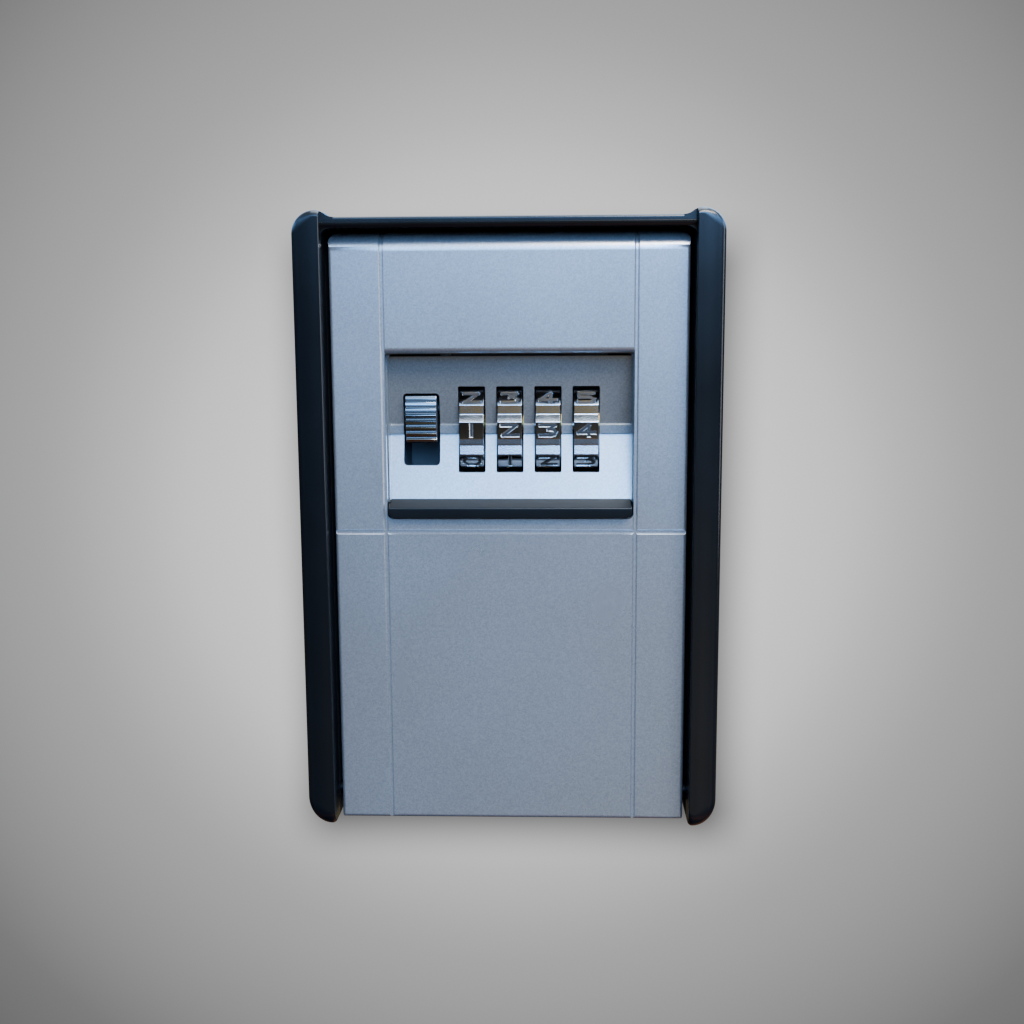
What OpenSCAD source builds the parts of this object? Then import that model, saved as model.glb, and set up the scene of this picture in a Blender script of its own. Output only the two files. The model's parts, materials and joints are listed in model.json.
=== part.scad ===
// Key lock box: a wall-mounted key safe with a bottom-hinged door and a four-dial lock.
// Millimetres. +Z is up, the front faces -Y, and y = 0 is the back face that meets the wall.
// The origin is the centre of the four wall-screw holes on that face.

/* [Overall size] */
// Width over the two side rails
overall_w = 83; // [82:0.5:88]
// Height of the side rails
overall_h = 123.6; // [123.6:0.2:126]
// Depth from the wall to the front of the rails
overall_d = 48; // [47:0.5:54]

/* [Surround] */
// Width of a side rail seen from the front
rail_w = 5.5; // [5:0.1:6.5]
// How far the rails stand in front of the door
rail_proud = 5; // [4:0.1:6]
// Corner radius at the top of the rails seen from the front
rail_corner_r = 4.5; // [3:0.5:5]
// Corner radius at the foot of the rails seen from the front
rail_foot_r = 4.6; // [3:0.1:5.4]
// Corner radius at the top of the rails seen from the side
rail_nose_r = 1.6; // [1:0.1:5]
// Corner radius at the foot of the rails seen from the side
rail_foot_nose_r = 2.8; // [1:0.1:5]
// Rounding along the outer front edge of a rail
rail_edge_r = 1.5; // [1:0.1:2.8]
// Bevel along the inner front edge of a rail
rail_bevel = 0.3; // [0.2:0.1:1.2]
// Height of the bar that joins the rails at the top
bar_h = 2.1; // [1.6:0.1:2.4]
// How far the bar's top lies below the tops of the rails
bar_drop = 1.2; // [1:0.1:1.6]

/* [Door] */
// Gap between the door and a rail
door_gap = 0.8; // [0.6:0.1:1]
// Thickness of the door's front skin and walls
door_t = 1.6; // [1.4:0.1:1.8]
// Radius of the rolled edge along the top of the door
door_roll_r = 3.5; // [2:0.5:4]
// Depth of the door's walls behind its front face
door_depth = 8.5; // [8:0.1:8.8]
// Half width of the dial window
window_half_w = 24.6; // [24.4:0.1:25]
// Bottom of the dial window above the origin
window_z0 = 1.5; // [1.3:0.1:1.6]
// Top of the dial window above the origin
window_z1 = 34.4; // [34.3:0.1:34.8]
// Width of the decorative grooves in the door
groove_w = 1; // [0.6:0.1:1.2]
// Depth of those grooves
groove_deep = 0.35; // [0.2:0.05:0.6]
// Height of the level groove above the origin
groove_z = -1.15; // [-2:0.05:-1]

/* [Dials] */
// Number spacing of the dials along their shaft
dial_pitch = 7.7; // [7.6:0.05:7.8]
// Width of one dial
dial_w = 4.93; // [4.6:0.01:5]
// Radius over the number facets of a dial
dial_r = 11; // [10.8:0.1:11]
// Depth of the finger notches between the numbers
notch_deep = 0.95; // [0.6:0.05:1.1]
// Height of a number facet
facet_h = 3.4; // [3:0.1:3.8]
// Sideways middle of the row of dials
dial_row_x = 3.7; // [3.6:0.1:3.8]
// Height of the dial shaft above the origin
dial_z = 18.9; // [18.8:0.1:19]
// Diameter of the dial shaft
shaft_d = 3; // [2.6:0.1:3]

/* [Opening lever] */
// Width of the opening lever
lever_w = 6.25; // [5.8:0.05:6.4]
// Sideways middle of the opening lever
lever_x = -18.07; // [-18.1:0.01:-18]
// Radius of the lever's ribbed face about its pivot
lever_r = 11.5; // [11:0.1:11.6]
// How far the lever swings when it is pressed
lever_swing = 28; // [20:1:28]

/* [Wall fixing] */
// Distance between the wall-screw holes across the case
wall_hole_x = 50; // [40:1:56]
// Distance between the wall-screw holes up the case
wall_hole_z = 80; // [60:1:90]
// Diameter of a wall-screw hole
wall_hole_d = 5.2; // [4:0.1:6]

/* [Hidden] */

$fn = 48;
eps = 0.01;
run_gap = 0.06;

// Planes of the housing
half_w = overall_w / 2;
half_h = overall_h / 2;
front_y = -overall_d;
rail_in_x = half_w - rail_w;
skin_w = 3.1;
case_half_w = half_w - skin_w - 0.1;
case_in_x = rail_in_x + 0.1;
case_front_y = front_y + 6.2;
case_back_t = 2.5;
case_top = half_h - bar_drop - 0.2;
case_in_top = case_top - 1.9;
case_bottom = -half_h + 0.3;
case_in_bottom = case_bottom + 2;
bottom_front_y = front_y + 16.2;
bar_top = half_h - bar_drop;

// Planes of the door, from the front to the back
door_y = front_y + rail_proud;
skin_back_y = door_y + door_t;
door_back_y = door_y + door_depth;
door_half_w = rail_in_x - door_gap;
door_in_x = door_half_w - door_t;
door_top = case_in_top - 0.4;
door_bottom = -half_h + 0.4;
groove_x = window_half_w + 0.3;

// Hinge at the foot of the door
hinge_y = door_y + 4.5;
hinge_z = door_bottom + 4.9;
hinge_r = 1.5;

// Weather cover that slides behind the door skin
cover_half_w = 26;
cover_y0 = skin_back_y + 0.3;
cover_y1 = cover_y0 + 1.2;
cover_bottom = window_z0 - 30;
lip_z0 = window_z0 + 0.3;
lip_front_h = 2.1;
lip_top = lip_z0 + 3.4;
lip_half_w = window_half_w - 0.4;
lip_y = door_y - 1.5;

// Faceplate behind the cover: a shallow tray with a folded floor
plate_y = cover_y1 + 0.5;
plate_t = 1.2;
plate_half_w = 29.2;
tray_half_w = window_half_w - 0.1;
tray_wall = 1.2;
tray_top = window_z1 - 0.2;
plate_z0 = window_z0 - 1.5;
plate_z1 = 38.2;
fold_y = plate_y + 3.7;
rib_half_h = 1.07;
rib_proud = 0.75;
slot_w = 5.5;
slot_half_h = 8.7;
lever_slot_w = 7.4;
lever_slot_z0 = 11.6;
lever_slot_z1 = 26.2;

// Dials and shaft
dial_y = cover_y1 + 0.4 + dial_r;
shaft_r = shaft_d / 2;
cam_r = 5.5;
cam_notch = 1.3;
cam_w = 2.1;
hub_r = 3.95;
facet_a = asin(facet_h / 2 / dial_r);

// Opening lever and latch
pivot_y = dial_y + 1.5;
pivot_z = dial_z + 2.6;
pivot_r = 1.25;
peg_arm = 6;
peg_r = 1;
latch_travel = 2 * peg_arm * sin(lever_swing / 2);
bolt_x0 = lever_x + lever_w / 2 + 0.65;
bolt_x1 = bolt_x0 + 1.8;
bolt_y0 = door_back_y + 0.3;
bolt_y1 = bolt_y0 + 3.6;
bolt_z0 = dial_z - 1.9;
strike_z0 = case_in_top - 4.5;
strike_z1 = case_in_top - 3;
bolt_top = strike_z0 + 2.6;
fence_z0 = dial_z + dial_r + 3.4;
fence_z1 = fence_z0 + 2.2;
fence_tip = dial_z + cam_r + latch_travel + 0.4;

// Carrier behind the dials, and the cover over it
carrier_y0 = dial_y + dial_r + 0.7;
carrier_t = 1.5;
carrier_z0 = 3;
carrier_z1 = 42.2;
cheek_front_y = fold_y + plate_t + 0.7;
cheek_top = dial_z + 10.9;
post_x = door_in_x - 2;
post_r = 2.1;
post_z = [7, 37];
small_boss_x = 27.8;
small_boss_r = 1.4;
plate_screw_z = [3.5, 36.4];
retainer_screw_z = [-28, -4];
small_screw_hole_r = 1.05;
inner_half_w = door_half_w - 0.2;
inner_y = carrier_y0 + carrier_t + 3.3;
inner_z0 = 1.5;
inner_z1 = 43.8;
inner_t = 1.2;
inner_screw_x = 22;
inner_screw_z = [8, 37];

// Code-change lever
reset_throw = 1.3;
reset_swing = 60;
reset_x = shaft_d / 2 + 25.1;
reset_z = dial_z - reset_throw * cos(reset_swing / 2);

function dial_x(i) = dial_row_x + (i - 2.5) * dial_pitch;
function arc_points(c, r, a0, a1, n) =
    [for (i = [0:n]) c + r * [cos(a0 + (a1 - a0) * i / n), sin(a0 + (a1 - a0) * i / n)]];

// Box between two opposite corners
module block(lo, hi) translate(lo) cube(hi - lo);

// Outline drawn in (y, z), carried from x0 to x1
module along_x(x0, x1) translate([x0, 0, 0]) rotate([90, 0, 90]) linear_extrude(x1 - x0) children();

// Outline drawn in (x, z), carried from y0 to y1
module along_y(y0, y1) translate([0, y1, 0]) rotate([90, 0, 0]) linear_extrude(y1 - y0) children();

// Round bar from x0 to x1
module bar_x(x0, x1, y, z, r) translate([x0, y, z]) rotate([0, 90, 0]) cylinder(r = r, h = x1 - x0);

// Round bar from y0 to y1
module bar_y(x, y0, y1, z, r) translate([x, y1, z]) rotate([90, 0, 0]) cylinder(r = r, h = y1 - y0);

// The child and its mirror image across the middle of the box
module both_sides() {
    children();
    mirror([1, 0, 0]) children();
}

// Pan-head screw whose head sits on the plane y = head_y and whose shank points to -Y
module screw_y(x, z, head_y, shank_r, shank_l, head_r, head_h) {
    difference() {
        union() {
            bar_y(x, head_y - shank_l, head_y + eps, z, shank_r);
            bar_y(x, head_y, head_y + head_h, z, head_r);
        }
        for (cross = [[head_r * 0.7, 0.25], [0.25, head_r * 0.7]])
            block([x - cross[0], head_y + head_h * 0.5, z - cross[1]],
                [x + cross[0], head_y + head_h + 1, z + cross[1]]);
    }
}

// ---- Housing -------------------------------------------------------------------------------

frame_screw_y = front_y + 28;
frame_screw_z = 45;
strike_screw_x = [-18, -9];
strike_screw_y = carrier_y0 - 1.2;

module frame_screw_space(r, head_r) {
    for (z = [-frame_screw_z, frame_screw_z]) {
        bar_x(case_in_x - 1, half_w - 0.9, frame_screw_y, z, r);
        translate([case_in_x, frame_screw_y, z]) rotate([0, 90, 0]) cylinder(r1 = head_r, r2 = r, h = 1.6);
    }
}

module rear_case() {
    color("#1c1e20") difference() {
        union() {
            difference() {
                block([-case_half_w, case_front_y, case_bottom], [case_half_w, 0, case_top]);
                block([-case_in_x, case_front_y - 1, case_in_bottom], [case_in_x, -case_back_t, case_in_top]);
                block([-case_in_x, case_front_y - 1, case_bottom - 1],
                    [case_in_x, bottom_front_y, case_in_bottom + 1]);
            }
            block([-23, strike_screw_y - 7, strike_z1], [-4, strike_screw_y + 6.5, case_in_top + eps]);
        }
        for (x = [-wall_hole_x / 2, wall_hole_x / 2]) for (z = [-wall_hole_z / 2, wall_hole_z / 2])
            bar_y(x, -case_back_t - 1, 1, z, wall_hole_d / 2);
        both_sides() bar_x(case_in_x - 1, case_half_w + 1, hinge_y, hinge_z, hinge_r + 0.05);
        both_sides() frame_screw_space(1.3, 2.6);
        for (x = strike_screw_x) translate([x, strike_screw_y, strike_z1 - 1]) cylinder(r = 1.05, h = 4.6);
    }
}

// Section of one rail seen from above
module rail_section() polygon(concat(
    [[rail_in_x, case_front_y - 0.2], [rail_in_x, front_y + rail_bevel], [rail_in_x + rail_bevel, front_y]],
    arc_points([half_w - rail_edge_r, front_y + rail_edge_r], rail_edge_r, -90, 0, 8),
    [[half_w, -0.5], [half_w - skin_w, -0.5], [half_w - skin_w, case_front_y - 0.2]]));

// Outline of the whole surround seen from the front
module surround_front() polygon([for (q = [0:3])
    let (s = [q == 0 || q == 3 ? 1 : -1, q < 2 ? 1 : -1], r = q < 2 ? rail_corner_r : rail_foot_r)
    each arc_points([s[0] * (half_w - r), s[1] * (half_h - r)], r, q * 90, q * 90 + 90, 8)]);

// Outline of a rail seen from the side
module rail_side() polygon(concat(
    [[0, -half_h], [0, half_h]],
    arc_points([front_y + rail_nose_r, half_h - rail_nose_r], rail_nose_r, 90, 180, 8),
    arc_points([front_y + rail_foot_nose_r, -half_h + rail_foot_nose_r], rail_foot_nose_r, 180, 270, 8)));

module outer_frame() {
    color("#15171a") union() {
        difference() {
            intersection() {
                both_sides() translate([0, 0, -half_h]) linear_extrude(overall_h) rail_section();
                along_y(front_y, 0) surround_front();
                along_x(-half_w, half_w) rail_side();
            }
            both_sides() frame_screw_space(1.3, 2.6);
        }
        difference() {
            block([-rail_in_x - 0.6, front_y + 1.5, bar_top - bar_h],
                [rail_in_x + 0.6, case_front_y - 0.2, bar_top]);
            along_x(-half_w, half_w) polygon([[front_y + 1, bar_top - bar_h - 1], [front_y + 1, bar_top - bar_h + 1],
                [front_y + 2.5, bar_top - bar_h - 0.5], [front_y + 2.5, bar_top - bar_h - 1]]);
        }
    }
}

module frame_screws() {
    color("#8b8f94") both_sides() for (z = [-frame_screw_z, frame_screw_z]) difference() {
        union() {
            bar_x(case_in_x, half_w - 1.2, frame_screw_y, z, 1.25);
            translate([case_in_x, frame_screw_y, z]) rotate([0, 90, 0]) cylinder(r1 = 2.5, r2 = 1.25, h = 1.45);
        }
        block([case_in_x - 1, frame_screw_y - 1.7, z - 0.25], [case_in_x + 0.6, frame_screw_y + 1.7, z + 0.25]);
        block([case_in_x - 1, frame_screw_y - 0.25, z - 1.7], [case_in_x + 0.6, frame_screw_y + 0.25, z + 1.7]);
    }
}

// The notch is open to the front, so the bolt leaves it as the door swings
module strike_plate() {
    color("#9a9fa5") difference() {
        block([-22, bolt_y0 + 0.3, strike_z0], [-5, strike_screw_y + 6, strike_z1]);
        block([bolt_x0 - 0.6, bolt_y0 - 1, strike_z0 - 1], [bolt_x1 + 0.6, bolt_y1 + 0.6, strike_z1 + 1]);
        for (x = strike_screw_x) translate([x, strike_screw_y, strike_z0 - 1]) cylinder(r = 1.3, h = 4);
    }
}

module strike_screws() {
    color("#8b8f94") for (x = strike_screw_x) translate([x, strike_screw_y, strike_z0]) difference() {
        union() {
            cylinder(r = 1, h = 4.8);
            translate([0, 0, -1.2]) cylinder(r = 2.1, h = 1.2);
        }
        translate([-1.5, -0.25, -1.3]) cube([3, 0.5, 0.7]);
        translate([-0.25, -1.5, -1.3]) cube([0.5, 3, 0.7]);
    }
}

module hinge_pins() {
    color("#26282b") both_sides() bar_x(door_in_x - 1.6, case_half_w - 0.05, hinge_y, hinge_z, hinge_r);
}

// ---- Door ----------------------------------------------------------------------------------

// Outline of the door seen from the side, grown inwards by inset
module door_side(inset) polygon(concat(
    [[door_back_y + (inset > 0 ? 1 : 0), door_bottom + inset], [door_back_y + (inset > 0 ? 1 : 0), door_top - inset]],
    arc_points([door_y + door_roll_r, door_top - door_roll_r], door_roll_r - inset, 90, 180, 8),
    [[door_y + inset, door_bottom + inset]]));

module small_boss_places() {
    both_sides() for (z = concat(plate_screw_z, retainer_screw_z)) translate([small_boss_x, 0, z]) children();
}

module post_places() {
    both_sides() for (z = post_z) translate([post_x, 0, z]) children();
}

module door_front() {
    color("#a9b6c4") difference() {
        union() {
            difference() {
                along_x(-door_half_w, door_half_w) door_side(0);
                along_x(-door_in_x, door_in_x) door_side(door_t);
            }
            small_boss_places() bar_y(0, skin_back_y - eps, plate_y, 0, small_boss_r);
            post_places() bar_y(0, skin_back_y - eps, carrier_y0, 0, post_r);
            both_sides() bar_x(door_in_x - 2, door_in_x + eps, hinge_y, hinge_z, 3);
        }
        block([-window_half_w, door_y - 1, window_z0], [window_half_w, skin_back_y + 1, window_z1]);
        both_sides() block([groove_x - groove_w / 2, door_y - 1, door_bottom - 1],
            [groove_x + groove_w / 2, door_y + groove_deep, door_top - door_roll_r]);
        block([-door_half_w - 1, door_y - 1, groove_z - groove_w / 2],
            [door_half_w + 1, door_y + groove_deep, groove_z + groove_w / 2]);
        small_boss_places() bar_y(0, skin_back_y - 0.6, plate_y + 1, 0, 0.85);
        post_places() bar_y(0, carrier_y0 - 9, carrier_y0 + 1, 0, 1.05);
        both_sides() bar_x(door_in_x - 3, door_half_w + 1, hinge_y, hinge_z, hinge_r + 0.05);
    }
}

// Depth of the tray floor's front surface at a height, from its lower edge to its upper edge
floor_low_z = 4.4;
floor_low = [plate_y, floor_low_z];
floor_fold_low = [fold_y, dial_z - rib_half_h];
floor_fold_high = [fold_y - 0.2, dial_z + rib_half_h];
floor_high = [plate_y + 1.4, tray_top];

tray_back = [[plate_y + plate_t, plate_z1], [plate_y + plate_t, tray_top + plate_t],
    floor_high + [plate_t, plate_t], floor_fold_high + [plate_t, 0], floor_fold_low + [plate_t, 0],
    floor_low + [plate_t, 0], [plate_y + plate_t, plate_z0]];

module tray_section(rib) polygon(concat(
    [[plate_y, plate_z0], floor_low, floor_fold_low],
    rib ? [floor_fold_low - [rib_proud, -0.2], floor_fold_high - [rib_proud * 0.7, 0.3]] : [],
    [floor_fold_high, floor_high, [plate_y, tray_top], [plate_y, plate_z1]], tray_back));

module tray_side() polygon(concat([[plate_y, plate_z0], [plate_y, plate_z1]], tray_back));

module faceplate() {
    color("#9dabba") difference() {
        union() {
            along_x(-tray_half_w, tray_half_w) tray_section(true);
            both_sides() along_x(tray_half_w - eps, tray_half_w + tray_wall) tray_side();
            both_sides() block([tray_half_w + tray_wall - eps, plate_y, plate_z0],
                [plate_half_w, plate_y + plate_t, plate_z1]);
        }
        for (i = [1:4]) block([dial_x(i) - slot_w / 2, plate_y - 1, dial_z - slot_half_h],
            [dial_x(i) + slot_w / 2, fold_y + 3, dial_z + slot_half_h]);
        block([lever_x - lever_slot_w / 2, plate_y - 1, lever_slot_z0],
            [lever_x + lever_slot_w / 2, fold_y + 3, lever_slot_z1]);
        both_sides() for (z = plate_screw_z) bar_y(small_boss_x, plate_y - 1, plate_y + 3, z, small_screw_hole_r);
    }
}

module faceplate_screws() {
    color("#8b8f94") both_sides() for (z = plate_screw_z)
        screw_y(small_boss_x, z, plate_y + plate_t, 0.8, 2.9, 1.6, 1.1);
}

retainer_z0 = -31;
retainer_z1 = plate_z0 - 0.7;
retainer_t = 1;

module cover_retainer() {
    color("#7d8389") difference() {
        block([-plate_half_w, plate_y, retainer_z0], [plate_half_w, plate_y + retainer_t, retainer_z1]);
        both_sides() for (z = retainer_screw_z)
            bar_y(small_boss_x, plate_y - 1, plate_y + 3, z, small_screw_hole_r);
    }
}

module retainer_screws() {
    color("#8b8f94") both_sides() for (z = retainer_screw_z)
        screw_y(small_boss_x, z, plate_y + retainer_t, 0.8, 2.7, 1.6, 1.1);
}

module brake_pad() {
    color("#3a3a3c") block([-9, plate_y - 0.4, -13], [9, plate_y, -7]);
}

module slide_cover() {
    chamfer = 1;
    color("#111316") union() {
        block([-cover_half_w, cover_y0, cover_bottom], [cover_half_w, cover_y1, lip_top - 0.6]);
        intersection() {
            along_x(-lip_half_w, lip_half_w) polygon([[lip_y, lip_z0], [cover_y0 + eps, lip_z0],
                [cover_y1, lip_top - 0.7], [cover_y1, lip_top], [lip_y, lip_z0 + lip_front_h]]);
            along_y(lip_y - 1, cover_y1 + 1) polygon([[-lip_half_w, lip_top + 1], [-lip_half_w, lip_z0 + chamfer],
                [-lip_half_w + chamfer, lip_z0], [lip_half_w - chamfer, lip_z0], [lip_half_w, lip_z0 + chamfer],
                [lip_half_w, lip_top + 1]]);
        }
    }
}

// ---- Lock mechanism ------------------------------------------------------------------------

cheek_a_x0 = bolt_x1 + 0.3;
cheek_a_x1 = cheek_a_x0 + 1.4;
cheek_b_x0 = dial_x(4) + dial_w / 2 + cam_w + 0.3;
cheek_b_x1 = cheek_b_x0 + 2;
cheek_c_x0 = lever_x - lever_w / 2 - 3.2;
cheek_c_x1 = cheek_c_x0 + 2;
guide_z = carrier_z1 - 1.6;
floor_top = carrier_z0 + 1.6;

module mechanism_carrier() {
    back_y1 = carrier_y0 + carrier_t;
    color("#2a2d30") difference() {
        union() {
            block([-door_in_x + 0.1, carrier_y0, carrier_z0], [door_in_x - 0.1, back_y1, carrier_z1]);
            block([cheek_c_x0, cheek_front_y, carrier_z0], [cheek_b_x1, carrier_y0 + eps, floor_top]);
            for (x = [[cheek_c_x0, cheek_c_x1], [cheek_a_x0, cheek_a_x1], [cheek_b_x0, cheek_b_x1]])
                block([x[0], cheek_front_y, carrier_z0], [x[1], carrier_y0 + eps, cheek_top]);
            block([cheek_c_x0, cheek_front_y - 2, guide_z], [cheek_a_x1 + 4, carrier_y0 + eps, carrier_z1]);
            both_sides() for (z = inner_screw_z) bar_y(inner_screw_x, back_y1 - eps, inner_y - inner_t, z, 2.2);
        }
        block([bolt_x0 - 0.35, bolt_y0 - 2, guide_z - 1], [bolt_x1 + 0.35, bolt_y1 + 0.35, carrier_z1 + 1]);
        bar_x(cheek_c_x0 - 1, cheek_a_x1 + 1, pivot_y, pivot_z, pivot_r + 0.05);
        bar_x(cheek_a_x0 - 1, cheek_b_x1 + 1, dial_y, dial_z, shaft_r + run_gap);
        post_places() bar_y(0, carrier_y0 - 1, back_y1 + 1, 0, 1.3);
        both_sides() for (z = inner_screw_z) bar_y(inner_screw_x, back_y1 - 1, inner_y, z, 1.05);
        block([reset_x - 2.6, carrier_y0 - 1, reset_z - 2.4], [reset_x + 2.6, back_y1 + 1, reset_z + 3]);
    }
}

module carrier_screws() {
    color("#8b8f94") post_places() screw_y(0, 0, carrier_y0 + carrier_t, 1, 8.5, 1.9, 1.3);
}

module inner_cover() {
    color("#232528") difference() {
        block([-inner_half_w, door_back_y + 0.2, inner_z0], [inner_half_w, inner_y, inner_z1]);
        block([-inner_half_w + inner_t, door_back_y - 1, inner_z0 + inner_t],
            [inner_half_w - inner_t, inner_y - inner_t, inner_z1 - inner_t]);
        block([bolt_x0 - 0.8, door_back_y - 1, inner_z1 - 2], [bolt_x1 + 0.8, bolt_y1 + 0.8, inner_z1 + 1]);
        both_sides() for (z = inner_screw_z) bar_y(inner_screw_x, inner_y - 3, inner_y + 1, z, 1.3);
        bar_y(reset_x, inner_y - 3, inner_y + 1, reset_z, 2.5 + run_gap);
    }
}

module inner_cover_screws() {
    color("#8b8f94") both_sides() for (z = inner_screw_z) screw_y(inner_screw_x, z, inner_y, 1, 4, 2.1, 1.4);
}

module opening_lever() {
    top_a = 22.5;
    low_a = -28.6;
    x0 = lever_x - lever_w / 2;
    x1 = lever_x + lever_w / 2;
    color("#c9ced3") difference() {
        union() {
            along_x(x0, x1) polygon(concat([[pivot_y + 1.2, pivot_z]],
                [for (i = [0:16]) let (a = low_a + (top_a - low_a) * i / 16, r = lever_r - (i % 2 == 0 ? 0 : 0.35))
                    [pivot_y - r * cos(a), pivot_z + r * sin(a)]]));
            bar_x(x0, x1, pivot_y, pivot_z, 2.9);
            bar_x(x1 - eps, bolt_x1 + 0.15, pivot_y - peg_arm * cos(lever_swing / 2),
                pivot_z + peg_arm * sin(lever_swing / 2), peg_r);
        }
        bar_x(x0 - 1, x1 + 1, pivot_y, pivot_z, pivot_r + run_gap);
    }
}

module lever_pivot() {
    color("#a5a9ad") bar_x(cheek_c_x0, cheek_a_x1, pivot_y, pivot_z, pivot_r);
}

module latch_bolt() {
    peg_z = pivot_z + peg_arm * sin(lever_swing / 2);
    color("#b4b8bc") difference() {
        union() {
            along_x(bolt_x0, bolt_x1) polygon([[bolt_y0, bolt_z0], [bolt_y1, bolt_z0], [bolt_y1, bolt_top - 1.2],
                [bolt_y1 - 1.2, bolt_top], [bolt_y0 + 0.6, bolt_top], [bolt_y0, bolt_top - 0.6]]);
            block([bolt_x0, bolt_y1 - eps, fence_z0], [bolt_x1, dial_y + 1, fence_z1]);
            block([bolt_x1 - eps, dial_y - 1, fence_z0], [cheek_b_x0 - 0.3, dial_y + 1, fence_z1]);
            for (i = [1:4]) let (x = dial_x(i) + dial_w / 2 + cam_w / 2)
                block([x - 0.6, dial_y - 0.6, fence_tip], [x + 0.6, dial_y + 0.6, fence_z0 + eps]);
        }
        block([bolt_x0 - 1, bolt_y0 - 1, peg_z - peg_r - 0.3], [bolt_x1 + 1, bolt_y0 + 3, peg_z + peg_r + 0.3]);
    }
}

// A coil of round wire: rings of ring_n points swept along a helix by one polyhedron
spring_r = 0.75;
spring_wire_r = 0.2;
spring_turns = 11;
spring_x = (bolt_x0 + bolt_x1) / 2;
spring_y = (bolt_y0 + bolt_y1) / 2;
spring_z0 = floor_top + 0.05;
spring_h = bolt_z0 - 0.05 - spring_z0;

module latch_spring() {
    ring_n = 6;
    steps = spring_turns * 12;
    rise = (spring_h - 2 * spring_wire_r) / steps;
    function ring(i) = let (a = i * 30) [for (k = [0:ring_n - 1])
        let (b = k * 360 / ring_n, rr = spring_r + spring_wire_r * cos(b))
        [spring_x + rr * cos(a), spring_y + rr * sin(a),
            spring_z0 + spring_wire_r + i * rise + spring_wire_r * sin(b)]];
    points = [for (i = [0:steps]) each ring(i)];
    sides = [for (i = [0:steps - 1]) for (k = [0:ring_n - 1])
        let (a = i * ring_n + k, b = i * ring_n + (k + 1) % ring_n)
        each [[a, b, b + ring_n], [a, b + ring_n, a + ring_n]]];
    last = steps * ring_n;
    ends = [for (k = [1:ring_n - 2]) each [[0, k + 1, k], [last, last + k, last + k + 1]]];
    color("#b9bdc1") polyhedron(points, concat(sides, ends));
}

// Strip with one bowed finger under each dial
module detent_spring() {
    t = 0.3;
    foot_z = floor_top;
    rise = dial_z - dial_r - 0.35 - t - foot_z;
    half = 4;
    bow_r = (half * half + rise * rise) / (2 * rise);
    bow_a = asin(half / bow_r);
    color("#c4b27a") union() {
        block([cheek_a_x1 + 0.3, dial_y + half - 0.3, foot_z], [cheek_b_x0 - 0.3, dial_y + half + 5, foot_z + t]);
        for (i = [1:4]) along_x(dial_x(i) - 1.5, dial_x(i) + 1.5) polygon(concat(
            arc_points([dial_y, foot_z + rise - bow_r], bow_r + t, 90 - bow_a, 90 + bow_a, 12),
            arc_points([dial_y, foot_z + rise - bow_r], bow_r, 90 + bow_a, 90 - bow_a, 12)));
    }
}

// The two collars at the right-hand end hold the code-change lever's peg between them
module dial_shaft() {
    color("#b4b8bc") union() {
        bar_x(cheek_a_x0 - 1.4, reset_x - reset_throw / 2 + 3, dial_y, dial_z, shaft_r);
        for (s = [-1, 1]) let (x = reset_x - reset_throw / 2 + s * 1.6)
            bar_x(x - 0.5, x + 0.5, dial_y, dial_z, 2.6);
    }
}

// Ten number facets with a finger notch between each pair
module dial(i) {
    x0 = dial_x(i) - dial_w / 2;
    color("#cdd1d5") difference() {
        along_x(x0, x0 + dial_w) polygon([for (k = [0:9]) each [
            for (p = [[-facet_a, dial_r], [facet_a, dial_r], [18, dial_r - notch_deep]])
                [dial_y - p[1] * cos(k * 36 + p[0]), dial_z + p[1] * sin(k * 36 + p[0])]]]);
        bar_x(x0 - 1, x0 + dial_w + 1, dial_y, dial_z, hub_r + 0.05);
        block([x0 - 1, dial_y - 0.7, dial_z - hub_r - 0.9], [x0 + dial_w + 1, dial_y + 0.7, dial_z]);
    }
}

// Notched cam on a keyed hub that fills the bore of its dial
module code_cam(i) {
    x0 = dial_x(i) - dial_w / 2;
    x1 = x0 + dial_w;
    color("#d0a95e") difference() {
        union() {
            bar_x(x0 + 0.1, x1 + cam_w, dial_y, dial_z, hub_r);
            bar_x(x1 + 0.1, x1 + cam_w, dial_y, dial_z, cam_r);
            block([x0 + 0.1, dial_y - 0.6, dial_z - hub_r - 0.7], [x1 + 0.2, dial_y + 0.6, dial_z - hub_r + 0.5]);
        }
        bar_x(x0 - 1, x1 + cam_w + 1, dial_y, dial_z, shaft_r + run_gap);
        block([x1 + 0.05, dial_y - 1, dial_z + cam_r - cam_notch], [x1 + cam_w + 1, dial_y + 1, dial_z + cam_r + 1]);
    }
}

module reset_lever() {
    peg_x = reset_x - reset_throw * sin(reset_swing / 2);
    color("#2e6db4") union() {
        bar_y(reset_x, inner_y - inner_t - 0.8, inner_y + 0.3, reset_z, 2.5);
        bar_y(peg_x, dial_y + shaft_r + 0.3, inner_y - inner_t - 0.7, dial_z, 0.8);
        bar_y(reset_x, inner_y + 0.2, inner_y + 1.6, reset_z, 3.2);
        block([reset_x - 12, inner_y + 0.2, reset_z - 2], [reset_x, inner_y + 1.6, reset_z + 2]);
        bar_y(reset_x - 11, inner_y + 0.2, inner_y + 3, reset_z, 2);
    }
}

rear_case();
outer_frame();
frame_screws();
strike_plate();
strike_screws();
hinge_pins();
door_front();
faceplate();
faceplate_screws();
cover_retainer();
retainer_screws();
brake_pad();
slide_cover();
mechanism_carrier();
carrier_screws();
inner_cover();
inner_cover_screws();
opening_lever();
lever_pivot();
latch_bolt();
latch_spring();
detent_spring();
dial_shaft();
dial(1);  // dial_1
dial(2);  // dial_2
dial(3);  // dial_3
dial(4);  // dial_4
code_cam(1);  // code_cam_1
code_cam(2);  // code_cam_2
code_cam(3);  // code_cam_3
code_cam(4);  // code_cam_4
reset_lever();
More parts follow.
